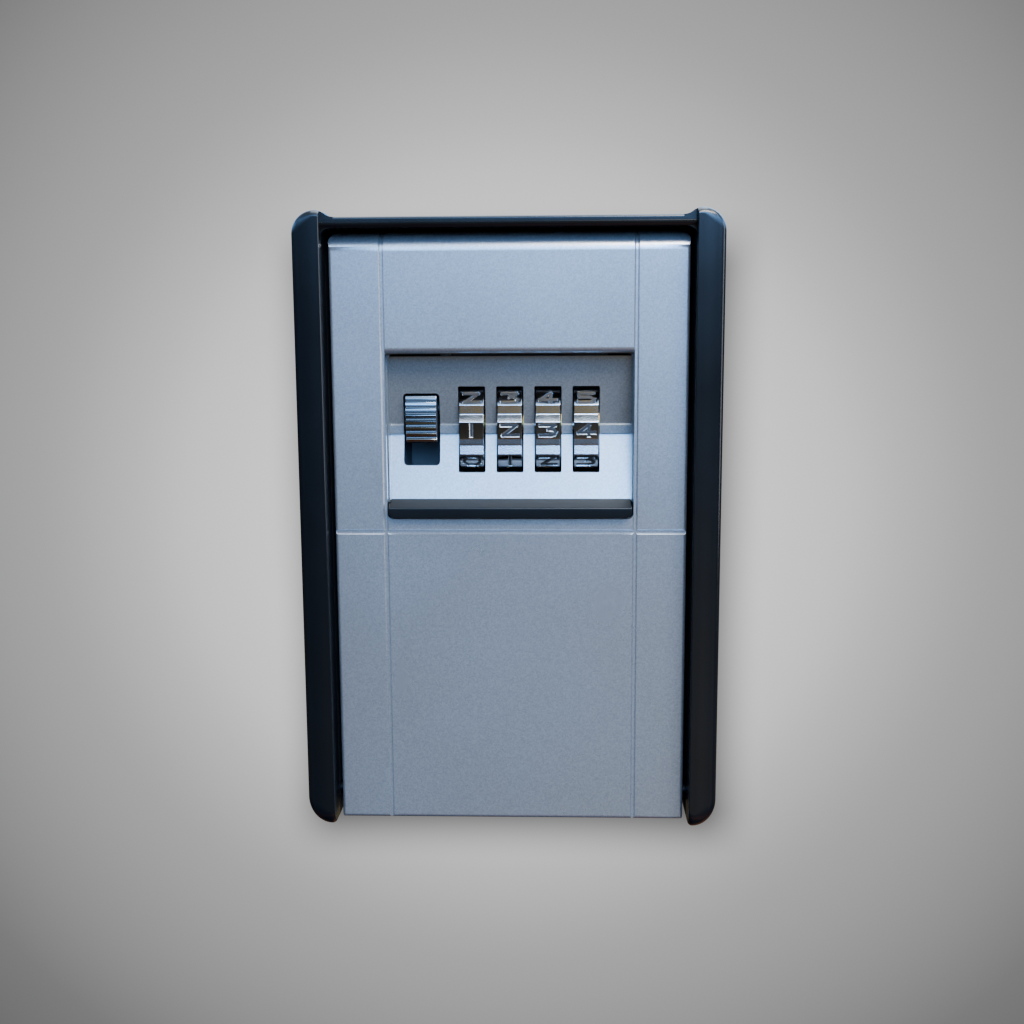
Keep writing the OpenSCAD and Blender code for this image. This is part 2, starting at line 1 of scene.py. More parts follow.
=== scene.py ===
"""Looks of a wall key box: painted door, dial window, chrome dials, black surround and inner works.

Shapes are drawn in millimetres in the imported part's own frame: +Z is up, the front faces -Y and the
wall is at y = 0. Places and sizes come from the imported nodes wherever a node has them.
"""

import json
import logging
import math
from collections.abc import Iterable, Sequence
from dataclasses import dataclass, field
from enum import Enum
from typing import Any, ClassVar

import bmesh
import bpy
from mathutils import Matrix, Vector


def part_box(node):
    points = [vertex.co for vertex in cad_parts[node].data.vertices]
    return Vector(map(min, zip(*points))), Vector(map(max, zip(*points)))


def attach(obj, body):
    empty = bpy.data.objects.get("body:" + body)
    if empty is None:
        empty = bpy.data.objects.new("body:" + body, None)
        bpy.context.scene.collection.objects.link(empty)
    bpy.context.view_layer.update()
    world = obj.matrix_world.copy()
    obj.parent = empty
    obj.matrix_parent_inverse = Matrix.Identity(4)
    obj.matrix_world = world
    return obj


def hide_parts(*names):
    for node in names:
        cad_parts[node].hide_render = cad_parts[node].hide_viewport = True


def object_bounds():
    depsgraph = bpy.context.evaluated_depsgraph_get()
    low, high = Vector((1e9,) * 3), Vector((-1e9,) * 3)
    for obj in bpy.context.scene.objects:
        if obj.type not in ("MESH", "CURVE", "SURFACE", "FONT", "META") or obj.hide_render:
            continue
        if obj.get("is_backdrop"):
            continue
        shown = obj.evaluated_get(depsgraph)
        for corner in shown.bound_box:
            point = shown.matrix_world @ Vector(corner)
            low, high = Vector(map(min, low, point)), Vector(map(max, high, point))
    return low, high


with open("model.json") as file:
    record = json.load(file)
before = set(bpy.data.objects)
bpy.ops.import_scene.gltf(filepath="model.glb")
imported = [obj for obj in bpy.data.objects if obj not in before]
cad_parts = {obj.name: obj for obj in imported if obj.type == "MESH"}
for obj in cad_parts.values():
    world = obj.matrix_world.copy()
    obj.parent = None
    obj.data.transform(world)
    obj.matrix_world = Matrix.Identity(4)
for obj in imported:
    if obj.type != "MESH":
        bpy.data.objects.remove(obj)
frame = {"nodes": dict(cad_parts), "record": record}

MM = 0.001
# Points of a packed or carved mesh closer than this, in metres, are one point.
WELD = 2e-6

Point = tuple[float, float]
Outline = list[Point]
Colour = tuple[float, float, float, float]

log = logging.getLogger("key_box")


# ---- Colour and node helpers -----------------------------------------------------------------


def linear(hex_colour: str) -> Colour:
    """Turn an sRGB colour into linear RGBA.

    Args:
        hex_colour: Colour as "#rrggbb".

    Returns:
        Linear red, green and blue, with an alpha of 1.
    """
    channels = [int(hex_colour[i:i + 2], 16) / 255 for i in (1, 3, 5)]
    red, green, blue = (c / 12.92 if c <= 0.04045 else ((c + 0.055) / 1.055) ** 2.4 for c in channels)
    return red, green, blue, 1.0


def add_node(tree: bpy.types.NodeTree, kind: str, settings: dict[Any, Any] | None = None,
             links: dict[Any, bpy.types.NodeSocket] | None = None) -> bpy.types.Node:
    """Add one node with its settings and links.

    Args:
        tree: Node tree that receives the node.
        kind: Name of the node type.
        settings: Values by property name, input name or input number.
        links: Output sockets by the name or number of the input that each one feeds.

    Returns:
        The new node.
    """
    node = tree.nodes.new(kind)
    for name, value in (settings or {}).items():
        if isinstance(name, str) and name not in node.inputs:
            setattr(node, name, value)
        else:
            node.inputs[name].default_value = value
    for name, source in (links or {}).items():
        tree.links.new(source, node.inputs[name])
    return node


def set_ramp(ramp: bpy.types.ColorRamp, stops: Sequence[tuple[float, Colour]]) -> None:
    """Give a colour ramp its stops.

    Args:
        ramp: The ramp to fill.
        stops: Positions from 0 to 1 in rising order, each with its colour.
    """
    while len(ramp.elements) > 1:
        ramp.elements.remove(ramp.elements[-1])
    ramp.elements[0].position, ramp.elements[0].color = stops[0]
    for position, colour in stops[1:]:
        ramp.elements.new(position).color = colour


# ---- Finishes --------------------------------------------------------------------------------


@dataclass(frozen=True)
class Finish:
    """A surface finish: the stuff a piece is made of and how its surface was worked.

    The colour drifts softly towards a second one, the roughness drifts with it, and a grain of the
    real size lifts the surface.
    """

    name: str
    colour: str
    drift_colour: str
    drift_mm: float
    roughness: float
    roughness_drift: float
    grain_mm: float
    grain_height_mm: float
    metallic: float = 0.0
    ior: float | None = None
    coat: float = 0.0
    coat_roughness: float = 0.1
    sheen: float = 0.0

    def material(self) -> bpy.types.Material:
        """Return the finish's material, made the first time that it is asked for."""
        known = bpy.data.materials.get(self.name)
        if known:
            return known
        material = bpy.data.materials.new(self.name)
        material.use_nodes = True
        tree = material.node_tree
        tree.nodes.clear()
        place = add_node(tree, "ShaderNodeTexCoord").outputs["Object"]
        drift = add_node(tree, "ShaderNodeTexNoise", {"Scale": 1 / (self.drift_mm * MM), "Detail": 4.0},
                         {"Vector": place}).outputs["Fac"]
        shader = add_node(tree, "ShaderNodeBsdfPrincipled", self.constants(), {
            "Base Color": self.colour_pattern(tree, place, drift),
            "Roughness": self.roughness_pattern(tree, drift),
            "Normal": self.relief(tree, place),
        })
        add_node(tree, "ShaderNodeOutputMaterial", links={"Surface": shader.outputs[0]})
        material.diffuse_color = linear(self.colour)
        return material

    def constants(self) -> dict[str, Any]:
        """Return the shader's values that are the same all over the surface."""
        values: dict[str, Any] = {"Metallic": self.metallic}
        if self.ior is not None:
            values["IOR"] = self.ior
        if self.coat:
            values |= {"Coat Weight": self.coat, "Coat Roughness": self.coat_roughness}
        if self.sheen:
            values["Sheen Weight"] = self.sheen
        return values

    def colour_pattern(self, tree: bpy.types.NodeTree, place: bpy.types.NodeSocket,
                       drift: bpy.types.NodeSocket) -> bpy.types.NodeSocket:
        """Blend the two colours by the drift.

        Args:
            tree: The material's node tree.
            place: Position on the piece.
            drift: Slow noise from 0 to 1.

        Returns:
            The colour.
        """
        return add_node(tree, "ShaderNodeMix", {
            "data_type": "RGBA", 6: linear(self.colour), 7: linear(self.drift_colour),
        }, {0: drift}).outputs[2]

    def roughness_pattern(self, tree: bpy.types.NodeTree, drift: bpy.types.NodeSocket) -> bpy.types.NodeSocket:
        """Let the roughness drift about its middle value.

        Args:
            tree: The material's node tree.
            drift: Slow noise from 0 to 1.

        Returns:
            The roughness.
        """
        return add_node(tree, "ShaderNodeMapRange", {
            "From Min": 0.3, "From Max": 0.7,
            "To Min": self.roughness - self.roughness_drift, "To Max": self.roughness + self.roughness_drift,
        }, {"Value": drift}).outputs[0]

    def relief(self, tree: bpy.types.NodeTree, place: bpy.types.NodeSocket) -> bpy.types.NodeSocket:
        """Lift the surface by its grain.

        Args:
            tree: The material's node tree.
            place: Position on the piece.

        Returns:
            The normal.
        """
        grain = add_node(tree, "ShaderNodeTexNoise", {"Scale": 1 / (self.grain_mm * MM), "Detail": 2.0},
                         {"Vector": place}).outputs["Fac"]
        return add_node(tree, "ShaderNodeBump", {"Distance": self.grain_height_mm * MM},
                        {"Height": grain}).outputs[0]


@dataclass(frozen=True)
class FlakeLacquer(Finish):
    """Metallic lacquer: aluminium flakes that glint one by one in a clear coat."""

    flake_mm: float = 0.28
    flake_spread: float = 0.16

    def colour_pattern(self, tree: bpy.types.NodeTree, place: bpy.types.NodeSocket,
                       drift: bpy.types.NodeSocket) -> bpy.types.NodeSocket:
        """Make each flake a little lighter or darker than its neighbours.

        Args:
            tree: The material's node tree.
            place: Position on the piece.
            drift: Slow noise from 0 to 1.

        Returns:
            The colour.
        """
        base = super().colour_pattern(tree, place, drift)
        flake = add_node(tree, "ShaderNodeTexVoronoi", {"Scale": 1 / (self.flake_mm * MM)},
                         {"Vector": place}).outputs["Color"]
        shade = add_node(tree, "ShaderNodeMapRange", {
            "To Min": 1 - self.flake_spread, "To Max": 1 + self.flake_spread}, {"Value": flake}).outputs[0]
        return add_node(tree, "ShaderNodeVectorMath", {"operation": "MULTIPLY"},
                        {0: base, 1: shade}).outputs[0]


@dataclass(frozen=True)
class DrawnMetal(Finish):
    """Sheet, wire or turned metal whose working marks run one way."""

    marks_along: tuple[float, float, float] = (1.0, 1.0, 0.06)

    def relief(self, tree: bpy.types.NodeTree, place: bpy.types.NodeSocket) -> bpy.types.NodeSocket:
        """Stretch the grain into fine marks.

        Args:
            tree: The material's node tree.
            place: Position on the piece.

        Returns:
            The normal.
        """
        stretched = add_node(tree, "ShaderNodeMapping", {"Scale": self.marks_along}, {"Vector": place})
        return super().relief(tree, stretched.outputs[0])


class Finishes(Enum):
    """Every finish on the box, keyed by what it covers."""

    # Sprayed over die-cast zinc: a satin silver whose flakes sparkle and whose clear coat glosses edges.
    SILVER_LACQUER = FlakeLacquer("silver_metallic_lacquer_on_zinc", "#a4a5a7", "#9a9b9d", 30, 0.3, 0.03,
                                  0.35, 0.006, metallic=0.8, coat=0.5, coat_roughness=0.24)
    # The same lacquer on the dial plate in the window's recess, in a darker grey: painted shade of the recess.
    SHADED_PLATE_LACQUER = FlakeLacquer("silver_lacquer_darkened_as_painted_shade_on_dial_plate", "#929597", "#888b8d", 22, 0.31,
                                 0.03, 0.3, 0.006, metallic=0.82, coat=0.2, coat_roughness=0.25)
    # Injection-moulded ABS of the surround from a semi-gloss tool: dark, with soft highlights along its edges.
    SURROUND_ABS = Finish("black_semi_gloss_moulded_abs", "#06080a", "#090b0e", 14, 0.19, 0.015,
                          0.5, 0.002, ior=1.43)
    # Injection-moulded ABS of the weather cover, rubbed by fingers: duller than the surround.
    COVER_ABS = Finish("black_satin_moulded_abs", "#050607", "#08090b", 10, 0.3, 0.03, 0.8, 0.003, ior=1.34)
    # Fine black powder coat over the cast case: tiny orange-peel bumps, dull sheen.
    POWDER_COAT = Finish("black_powder_coated_zinc", "#15171a", "#1b1d20", 18, 0.55, 0.05, 0.45, 0.03,
                         ior=1.5)
    # Spark-eroded mould texture on the inner cover: matt and slightly grey.
    MATT_ABS = Finish("black_textured_moulded_abs", "#1a1b1d", "#202224", 12, 0.6, 0.05, 0.3, 0.02, ior=1.54)
    # Decorative chrome over cast zinc: near-mirror with the slight waviness of the casting below.
    CHROME = Finish("chrome_plated_zinc", "#9fa2a6", "#94979b", 3, 0.08, 0.03, 0.35, 0.003, metallic=1.0)
    # Chrome of the lever, a little duller and in a darker, smoky tone: painted shade of the slot it stands in.
    SHADED_LEVER_CHROME = Finish("chrome_darkened_as_painted_shade_on_lever", "#84878a", "#76797b", 2, 0.12, 0.05, 0.3, 0.004,
                         metallic=1.0)
    # The same chrome in the finger notches and on the numbers' engraved flanks, over a bead-blasted casting:
    # satin, with a fine sparkle, and lighter than the polished chrome: painted highlight.
    HIGHLIGHT_SATIN_CHROME = Finish("satin_chrome_lightened_as_painted_highlight", "#d4d5d6", "#c2c4c6", 1.5, 0.17, 0.05, 0.16, 0.02,
                          metallic=1.0)
    # Enamel wiped into the engraved numbers: flat black.
    NUMBER_ENAMEL = Finish("black_number_enamel", "#08090a", "#101112", 1, 0.5, 0.1, 0.1, 0.005, ior=1.5)
    # Zinc-plated steel screws: bright grey with a cool passivated tint.
    ZINC_PLATE = Finish("zinc_plated_steel", "#a7abb0", "#8d9398", 2.5, 0.3, 0.06, 0.15, 0.003, metallic=1.0)
    # Cold-rolled strip, stamped and deburred: faint rolling marks.
    ROLLED_STEEL = DrawnMetal("cold_rolled_steel_strip", "#9b9ea2", "#85898e", 6, 0.34, 0.05, 0.12, 0.004,
                              metallic=1.0)
    # Centreless-ground pins and shaft: fine rings around the bar.
    GROUND_STEEL = DrawnMetal("ground_steel_bar", "#b2b5b9", "#a0a4a9", 4, 0.2, 0.04, 0.1, 0.002,
                              metallic=1.0, marks_along=(1.0, 0.06, 0.06))
    # Hinge pins chemically blackened against rust: oily black with a dull shine.
    BLACKENED_STEEL = DrawnMetal("black_oxide_steel_pin", "#17181a", "#1f2022", 3, 0.38, 0.05, 0.1, 0.002,
                                 metallic=1.0, marks_along=(1.0, 0.06, 0.06))
    # Patented drawn spring wire: smooth and slightly dark.
    SPRING_WIRE = Finish("drawn_spring_wire", "#8f9397", "#7c8085", 1.5, 0.28, 0.05, 0.1, 0.002, metallic=1.0)
    # Thin phosphor-bronze strip of the detent fingers.
    BRONZE_STRIP = DrawnMetal("phosphor_bronze_strip", "#b58b5a", "#a67c4e", 3, 0.3, 0.05, 0.1, 0.003,
                              metallic=1.0)
    # Turned free-cutting brass: warm yellow with fine tool rings.
    TURNED_BRASS = DrawnMetal("turned_brass", "#c2a15c", "#b0904e", 2, 0.26, 0.05, 0.12, 0.003, metallic=1.0,
                              marks_along=(1.0, 0.06, 0.06))
    # Die-cast zinc left bare on the lever's hub and peg inside the lock, in a dark grey that is painted shade
    # of the lever's slot: dull and cloudy, with flow marks.
    SHADED_HUB_CASTING = Finish("zinc_darkened_as_painted_shade_on_lever_hub", "#5d6165", "#4c5054", 5, 0.5, 0.08, 0.5, 0.015, metallic=0.85)
    # The lock's carrier, darkened: painted shade of the slot behind the lever; dull.
    SHADED_CARRIER_CASTING = Finish("carrier_zinc_darkened_as_painted_shade", "#6a7077", "#747a80", 5, 0.55, 0.06, 0.5, 0.015,
                               metallic=0.6)
    # Pressed wool felt of the brake pad: fibrous and matt.
    FELT = Finish("pressed_grey_felt", "#3f4042", "#323335", 1.2, 0.95, 0.03, 0.25, 0.12, sheen=0.6)
    # Acetal of the code-change lever: waxy, saturated blue.
    ACETAL = Finish("blue_moulded_acetal", "#1f56a0", "#1c4f94", 6, 0.38, 0.05, 0.4, 0.006, ior=1.48)


# ---- Shape helpers ---------------------------------------------------------------------------


class Axis(Enum):
    """Direction in which an outline is carried: places of its two coordinates, then of the carried one."""

    X = (1, 2, 0)
    Y = (0, 2, 1)
    Z = (0, 1, 2)


@dataclass(frozen=True)
class Extent:
    """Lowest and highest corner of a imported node, in millimetres."""

    lo: Vector
    hi: Vector

    @classmethod
    def of(cls, node: str) -> "Extent":
        """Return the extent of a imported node, by its name."""
        lo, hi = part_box(node)
        return cls(lo / MM, hi / MM)

    @property
    def middle(self) -> Vector:
        """Middle of the extent."""
        return (self.lo + self.hi) / 2


def arc(centre: Point, radius: float, start: float, end: float, steps: int = 16) -> Outline:
    """Return points along an arc.

    Args:
        centre: Centre of the arc.
        radius: Its radius.
        start: Angle of its first point, in degrees.
        end: Angle of its last point, in degrees.
        steps: Number of steps between them.

    Returns:
        The points, first and last included.
    """
    angles = [math.radians(start + (end - start) * i / steps) for i in range(steps + 1)]
    return [(centre[0] + radius * math.cos(a), centre[1] + radius * math.sin(a)) for a in angles]


def rounded_box(lo: Point, hi: Point, low_r: float, high_r: float | None = None, steps: int = 8) -> Outline:
    """Return a rectangle with rounded corners.

    Args:
        lo: Its lower left corner.
        hi: Its upper right corner.
        low_r: Radius of the two lower corners.
        high_r: Radius of the two upper corners, or None for the same.
        steps: Number of steps round each corner.

    Returns:
        The outline, anticlockwise.
    """
    high_r = low_r if high_r is None else high_r
    return (arc((hi[0] - low_r, lo[1] + low_r), low_r, -90, 0, steps)
            + arc((hi[0] - high_r, hi[1] - high_r), high_r, 0, 90, steps)
            + arc((lo[0] + high_r, hi[1] - high_r), high_r, 90, 180, steps)
            + arc((lo[0] + low_r, lo[1] + low_r), low_r, 180, 270, steps))


def mesh_of(shape: bmesh.types.BMesh, name: str) -> bpy.types.Mesh:
    """Close a shape up with its faces outwards and turn it into a mesh.

    Args:
        shape: The shape, which is freed.
        name: Name of the mesh.

    Returns:
        The mesh.
    """
    bmesh.ops.remove_doubles(shape, verts=shape.verts, dist=1e-7)
    bmesh.ops.recalc_face_normals(shape, faces=shape.faces)
    mesh = bpy.data.meshes.new(name)
    shape.to_mesh(mesh)
    shape.free()
    return mesh


def skin(rings: Sequence[Sequence[Vector]], name: str = "skin") -> bpy.types.Mesh:
    """Join rings of points into one closed body.

    Args:
        rings: Rings of equally many points, in millimetres, from one end to the other.
        name: Name of the mesh.

    Returns:
        The mesh, with a flat face over each end.
    """
    shape = bmesh.new()
    loops = [[shape.verts.new(point * MM) for point in ring] for ring in rings]
    count = len(loops[0])
    for near, far in zip(loops, loops[1:]):
        for i in range(count):
            j = (i + 1) % count
            shape.faces.new((near[i], near[j], far[j], far[i]))
    shape.faces.new(loops[0])
    shape.faces.new(loops[-1])
    return mesh_of(shape, name)


def prism(axis: Axis, outline: Outline, lo: float, hi: float) -> bpy.types.Mesh:
    """Carry an outline along an axis.

    Args:
        axis: Direction of the carrying.
        outline: Outline across that direction, in millimetres.
        lo: Start along the axis.
        hi: End along the axis.

    Returns:
        The closed mesh.
    """
    first, second, third = axis.value
    rings = []
    for along in (lo, hi):
        ring = []
        for a, b in outline:
            point = Vector()
            point[first], point[second], point[third] = a, b, along
            ring.append(point)
        rings.append(ring)
    return skin(rings)


def bar(axis: Axis, centre: Point, radius: float, lo: float, hi: float, steps: int = 40) -> bpy.types.Mesh:
    """Return a round bar: its centre across the axis, its radius, and its start and end along it."""
    return prism(axis, arc(centre, radius, 0, 360 - 360 / steps, steps - 1), lo, hi)


def block(lo: Sequence[float], hi: Sequence[float]) -> bpy.types.Mesh:
    """Return a square-edged block between two opposite corners."""
    return prism(Axis.Z, [(lo[0], lo[1]), (hi[0], lo[1]), (hi[0], hi[1]), (lo[0], hi[1])], lo[2], hi[2])


def mirrored(mesh: bpy.types.Mesh) -> bpy.types.Mesh:
    """Return the mirror image of a mesh across the middle plane x = 0."""
    shape = bmesh.new()
    shape.from_mesh(mesh)
    bmesh.ops.scale(shape, vec=(-1, 1, 1), verts=shape.verts)
    return mesh_of(shape, mesh.name)


def both_sides(mesh: bpy.types.Mesh) -> list[bpy.types.Mesh]:
    """Return a mesh and its mirror image."""
    return [mesh, mirrored(mesh)]


def joined(meshes: Iterable[bpy.types.Mesh]) -> bpy.types.Mesh:
    """Return one mesh that holds several that don't touch."""
    shape = bmesh.new()
    for mesh in meshes:
        shape.from_mesh(mesh)
    return mesh_of(shape, "joined")


class Carving:
    """One closed body in the making, shaped by bodies that are added to it, cut from it or kept of it."""

    def __init__(self, name: str, start: bpy.types.Mesh) -> None:
        """Start from a first body.

        Args:
            name: Name of the piece.
            start: The first body.
        """
        self.object = bpy.data.objects.new(name, start)
        start.name = name
        bpy.context.scene.collection.objects.link(self.object)

    def _apply(self) -> "Carving":
        """Make the object's modifiers part of its mesh and return the carving."""
        name = self.object.name
        evaluated = self.object.evaluated_get(bpy.context.evaluated_depsgraph_get())
        mesh = bpy.data.meshes.new_from_object(evaluated)
        self.object.modifiers.clear()
        old = self.object.data
        self.object.data = mesh
        bpy.data.meshes.remove(old)
        mesh.name = name
        return self

    def _combine(self, operation: str, tools: Iterable[bpy.types.Mesh]) -> "Carving":
        """Combine the body with tools that don't touch each other and return the carving."""
        tool = bpy.data.objects.new("tool", joined(tools))
        bpy.context.scene.collection.objects.link(tool)
        modifier = self.object.modifiers.new("combine", "BOOLEAN")
        modifier.operation = operation
        modifier.solver = "MANIFOLD"
        modifier.object = tool
        self._apply()
        bpy.data.meshes.remove(tool.data)
        return self

    def add(self, *tools: bpy.types.Mesh) -> "Carving":
        """Grow the body by others and return the carving."""
        return self._combine("UNION", tools)

    def cut(self, *tools: bpy.types.Mesh) -> "Carving":
        """Cut others from the body and return the carving."""
        return self._combine("DIFFERENCE", tools)

    def keep(self, *tools: bpy.types.Mesh) -> "Carving":
        """Keep only what lies inside the others and return the carving."""
        return self._combine("INTERSECT", tools)

    def round_edges(self, width_mm: float, segments: int = 3, angle: float = 30) -> "Carving":
        """Round every edge sharper than an angle and return the carving."""
        add_bevel(self.object, width_mm, segments, angle)
        return self._apply()

    def finished(self, sharp_angle: float = 38) -> bpy.types.Object:
        """Shade the body smoothly between its sharp edges and return its object."""
        mesh = self.object.data
        shape = bmesh.new()
        shape.from_mesh(mesh)
        bmesh.ops.remove_doubles(shape, verts=shape.verts, dist=WELD)
        bmesh.ops.dissolve_degenerate(shape, edges=shape.edges, dist=WELD / 2)
        shape.to_mesh(mesh)
        shape.free()
        shade(self.object, sharp_angle)
        return self.object


def add_bevel(piece: bpy.types.Object, width_mm: float, segments: int, angle: float) -> None:
    """Put a bevel modifier on a piece.

    Args:
        piece: The piece.
        width_mm: Width of the bevel.
        segments: Steps across it.
        angle: Edges sharper than this many degrees are bevelled.
    """
    bevel = piece.modifiers.new("rounding", "BEVEL")
    bevel.width = width_mm * MM
    bevel.segments = segments
    bevel.limit_method = "ANGLE"
    bevel.angle_limit = math.radians(angle)
    bevel.use_clamp_overlap = True


def shade(piece: bpy.types.Object, sharp_angle: float) -> None:
    """Shade a piece smoothly between edges sharper than an angle in degrees."""
    mesh = piece.data
    mesh.polygons.foreach_set("use_smooth", [True] * len(mesh.polygons))
    mesh.set_sharp_from_angle(angle=math.radians(sharp_angle))
    weighted = piece.modifiers.new("flat_faces", "WEIGHTED_NORMAL")
    weighted.keep_sharp = True


def dress(piece: bpy.types.Object, finish: Finishes, *others: Finishes) -> None:
    """Give a piece its finish, and others for the faces that ask for the next material numbers."""
    while len(piece.data.materials) <= len(others):
        piece.data.materials.append(None)
    for number, kind in enumerate((finish, *others)):
        piece.material_slots[number].material = kind.value.material()


def place(piece: bpy.types.Object, node: str, slot: str) -> bpy.types.Object:
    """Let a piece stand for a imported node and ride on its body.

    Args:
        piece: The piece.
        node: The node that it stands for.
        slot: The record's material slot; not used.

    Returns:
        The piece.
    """
    body = next(name for name, nodes in frame["record"]["behaviour"]["bodies"].items() if node in nodes)
    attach(piece, body)
    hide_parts(node)
    log.info("%s: stands for %s on body %s", piece.name, node, body)
    return piece


# ---- Surround --------------------------------------------------------------------------------


@dataclass
class Surround:
    """Black moulded surround: two crowned side rails joined by a bar at the top."""

    # A rail's width at the front and beside the case, and its outline seen from the front.
    rail_w: float = 5.5
    skin_w: float = 3.1
    top_r: float = 4.5
    foot_r: float = 4.6
    foot_stretch: float = 1.2
    inner_foot_r: float = 0.9
    least_r: float = 0.2
    # How its front rounds off: along the outer edge, at the foot, over the crowned face and at the inner edge.
    edge_r: float = 1.2
    foot_nose_r: float = 3.6
    crown: float = 0.35
    crown_reach: float = 4.3
    bevel: float = 0.16
    # The highest point of its top, and the sweep from there down to the bar.
    peak_in: float = 0.9
    sweep_r: float = 2.7
    # The bar: size, place, the small step along its upper edge and the undercut along its lower one.
    bar_h: float = 2.1
    bar_drop: float = 1.2
    bar_set_back: float = 1.5
    bar_step: float = 0.3
    bar_edge_r: float = 0.45
    bar_step_down: Point = (1.0, 1.15)
    bar_undercut: Point = (0.35, 0.5)
    bar_back_y: float = -41.82
    # The fillet under the bar's ends, and how far it reaches into the rail and into the bar.
    under_fillet: Point = (2.3, 1.4)
    under_root: Point = (0.5, 0.4)
    box: Extent = field(default_factory=lambda: Extent.of("outer_frame"))

    @property
    def rail_in_x(self) -> float:
        """Sideways place of a rail's inner face."""
        return self.box.hi.x - self.rail_w

    @property
    def bar_top(self) -> float:
        """Height of the bar's top."""
        return self.box.hi.z - self.bar_drop

    @staticmethod
    def drawn_in(radius: float, back: float) -> float:
        """Return how far an edge rounded by a radius is drawn in at a distance behind the front."""
        gap = radius - min(back, radius)
        return radius - math.sqrt(radius ** 2 - gap ** 2)

    def outline(self, inset: float, back: float) -> Outline:
        """Return the right-hand rail's outline seen from the front.

        Args:
            inset: How far the outer side is drawn in.
            back: Distance behind the rail's front, which also draws the rounded ends and the inner edge in.

        Returns:
            The outline, anticlockwise from the inner foot.
        """
        in_x = self.rail_in_x + max(0.0, self.bevel - back)
        lo = self.box.lo.z + self.drawn_in(self.foot_nose_r, back)
        hi = self.box.hi.z - self.drawn_in(self.edge_r, back)
        out_x = self.box.hi.x - inset
        foot, top = max(self.foot_r - inset, self.least_r), max(self.top_r - inset, self.least_r)
        peak = self.rail_in_x + self.peak_in
        turn = math.degrees(math.asin((peak - in_x) / self.sweep_r))
        inner = min(self.inner_foot_r, out_x - foot - in_x - 0.02)
        outer = [(out_x - foot + foot * u, lo + self.foot_stretch * foot * (1 + v))
                 for u, v in arc((0, 0), 1, -90, 0, 14)]
        return (arc((in_x + inner, lo + inner), inner, 180, 270, 6)
                + outer
                + arc((out_x - top, hi - top), top, 0, 90, 14)
                + arc((peak, hi - self.sweep_r), self.sweep_r, 90, 90 + turn, 6))

    def rail(self) -> bpy.types.Mesh:
        """Return the right-hand rail, its front crowned so that it falls off to the outside."""
        front = self.box.lo.y
        start = self.crown + self.edge_r
        levels = [(0.0, self.box.hi.y - front)]
        levels += [(0.0, start + (self.foot_nose_r - start) * share) for share in (1.0, 0.66, 0.33)]
        levels += [(self.edge_r + x, start + y) for x, y in arc((0, 0), self.edge_r, 180, 270, 8)]
        flat = self.crown_reach - self.edge_r
        levels += [(self.edge_r + flat * i / 7, self.crown * (1 - i / 7) ** 2) for i in range(1, 8)]
        return skin([[Vector((x, front + back, z)) for x, z in self.outline(inset, back)]
                     for inset, back in levels])

    def hollow(self) -> bpy.types.Mesh:
        """Return the cutter that leaves only a skin of each rail beside the case."""
        in_x, lo, hi = self.box.hi.x - self.skin_w, self.box.lo, self.box.hi
        return block((-in_x, self.bar_back_y, lo.z - 1), (in_x, hi.y + 1, hi.z + 1))

    def bar(self) -> bpy.types.Mesh:
        """Return the top bar with its rounded upper edge, small step and undercut lower edge."""
        front = self.box.lo.y + self.bar_set_back
        top, low, step, r = self.bar_top, self.bar_top - self.bar_h, front + self.bar_step, self.bar_edge_r
        step_top, step_foot = self.bar_step_down
        under_y, under_z = self.bar_undercut
        section = [(self.bar_back_y, low), (self.bar_back_y, top), *arc((step + r, top - r), r, 90, 180, 8),
                   (step, top - step_top), (front, top - step_foot), (front, low + under_z),
                   (front + under_y, low)]
        reach = self.rail_in_x + 0.6
        return prism(Axis.X, section, -reach, reach)

    def blends(self) -> list[bpy.types.Mesh]:
        """Return the sweep that leads the bar up to the rail's peak, and the fillet under the bar."""
        top, low, corner, r = self.bar_top, self.bar_top - self.bar_h, self.rail_in_x, self.sweep_r
        peak = corner + self.peak_in
        turn = math.degrees(math.acos(1 - self.bar_drop / 2 / r))
        foot = peak - 2 * r * math.sin(math.radians(turn))
        above = [*arc((foot, top + r), r, -90, -90 + turn, 8),
                 *arc((peak, self.box.hi.z - r), r, 90 + turn, 93, 8)[1:], (peak, top - 1), (foot, top - 1)]
        wide, high = self.under_fillet
        below = [(corner - wide + wide * u, low - high + high * v) for u, v in arc((0, 0), 1, 0, 90, 12)]
        root = (corner + self.under_root[0], low + self.under_root[1])
        below += [(corner - wide, root[1]), root, (root[0], low - high)]
        front = self.box.lo.y + self.bar_set_back + self.bar_step
        return [prism(Axis.Y, above, front, self.bar_back_y), prism(Axis.Y, below, front, self.bar_back_y)]

    def build(self) -> bpy.types.Object:
        """Build the surround and return it."""
        shape = Carving("surround", joined(both_sides(self.rail())))
        shape.cut(self.hollow())
        shape.add(self.bar())
        for blend in self.blends():
            shape.add(*both_sides(blend))
        piece = shape.finished()
        dress(piece, Finishes.SURROUND_ABS)
        return place(piece, "outer_frame", "black_rail")


# ---- Door ------------------------------------------------------------------------------------


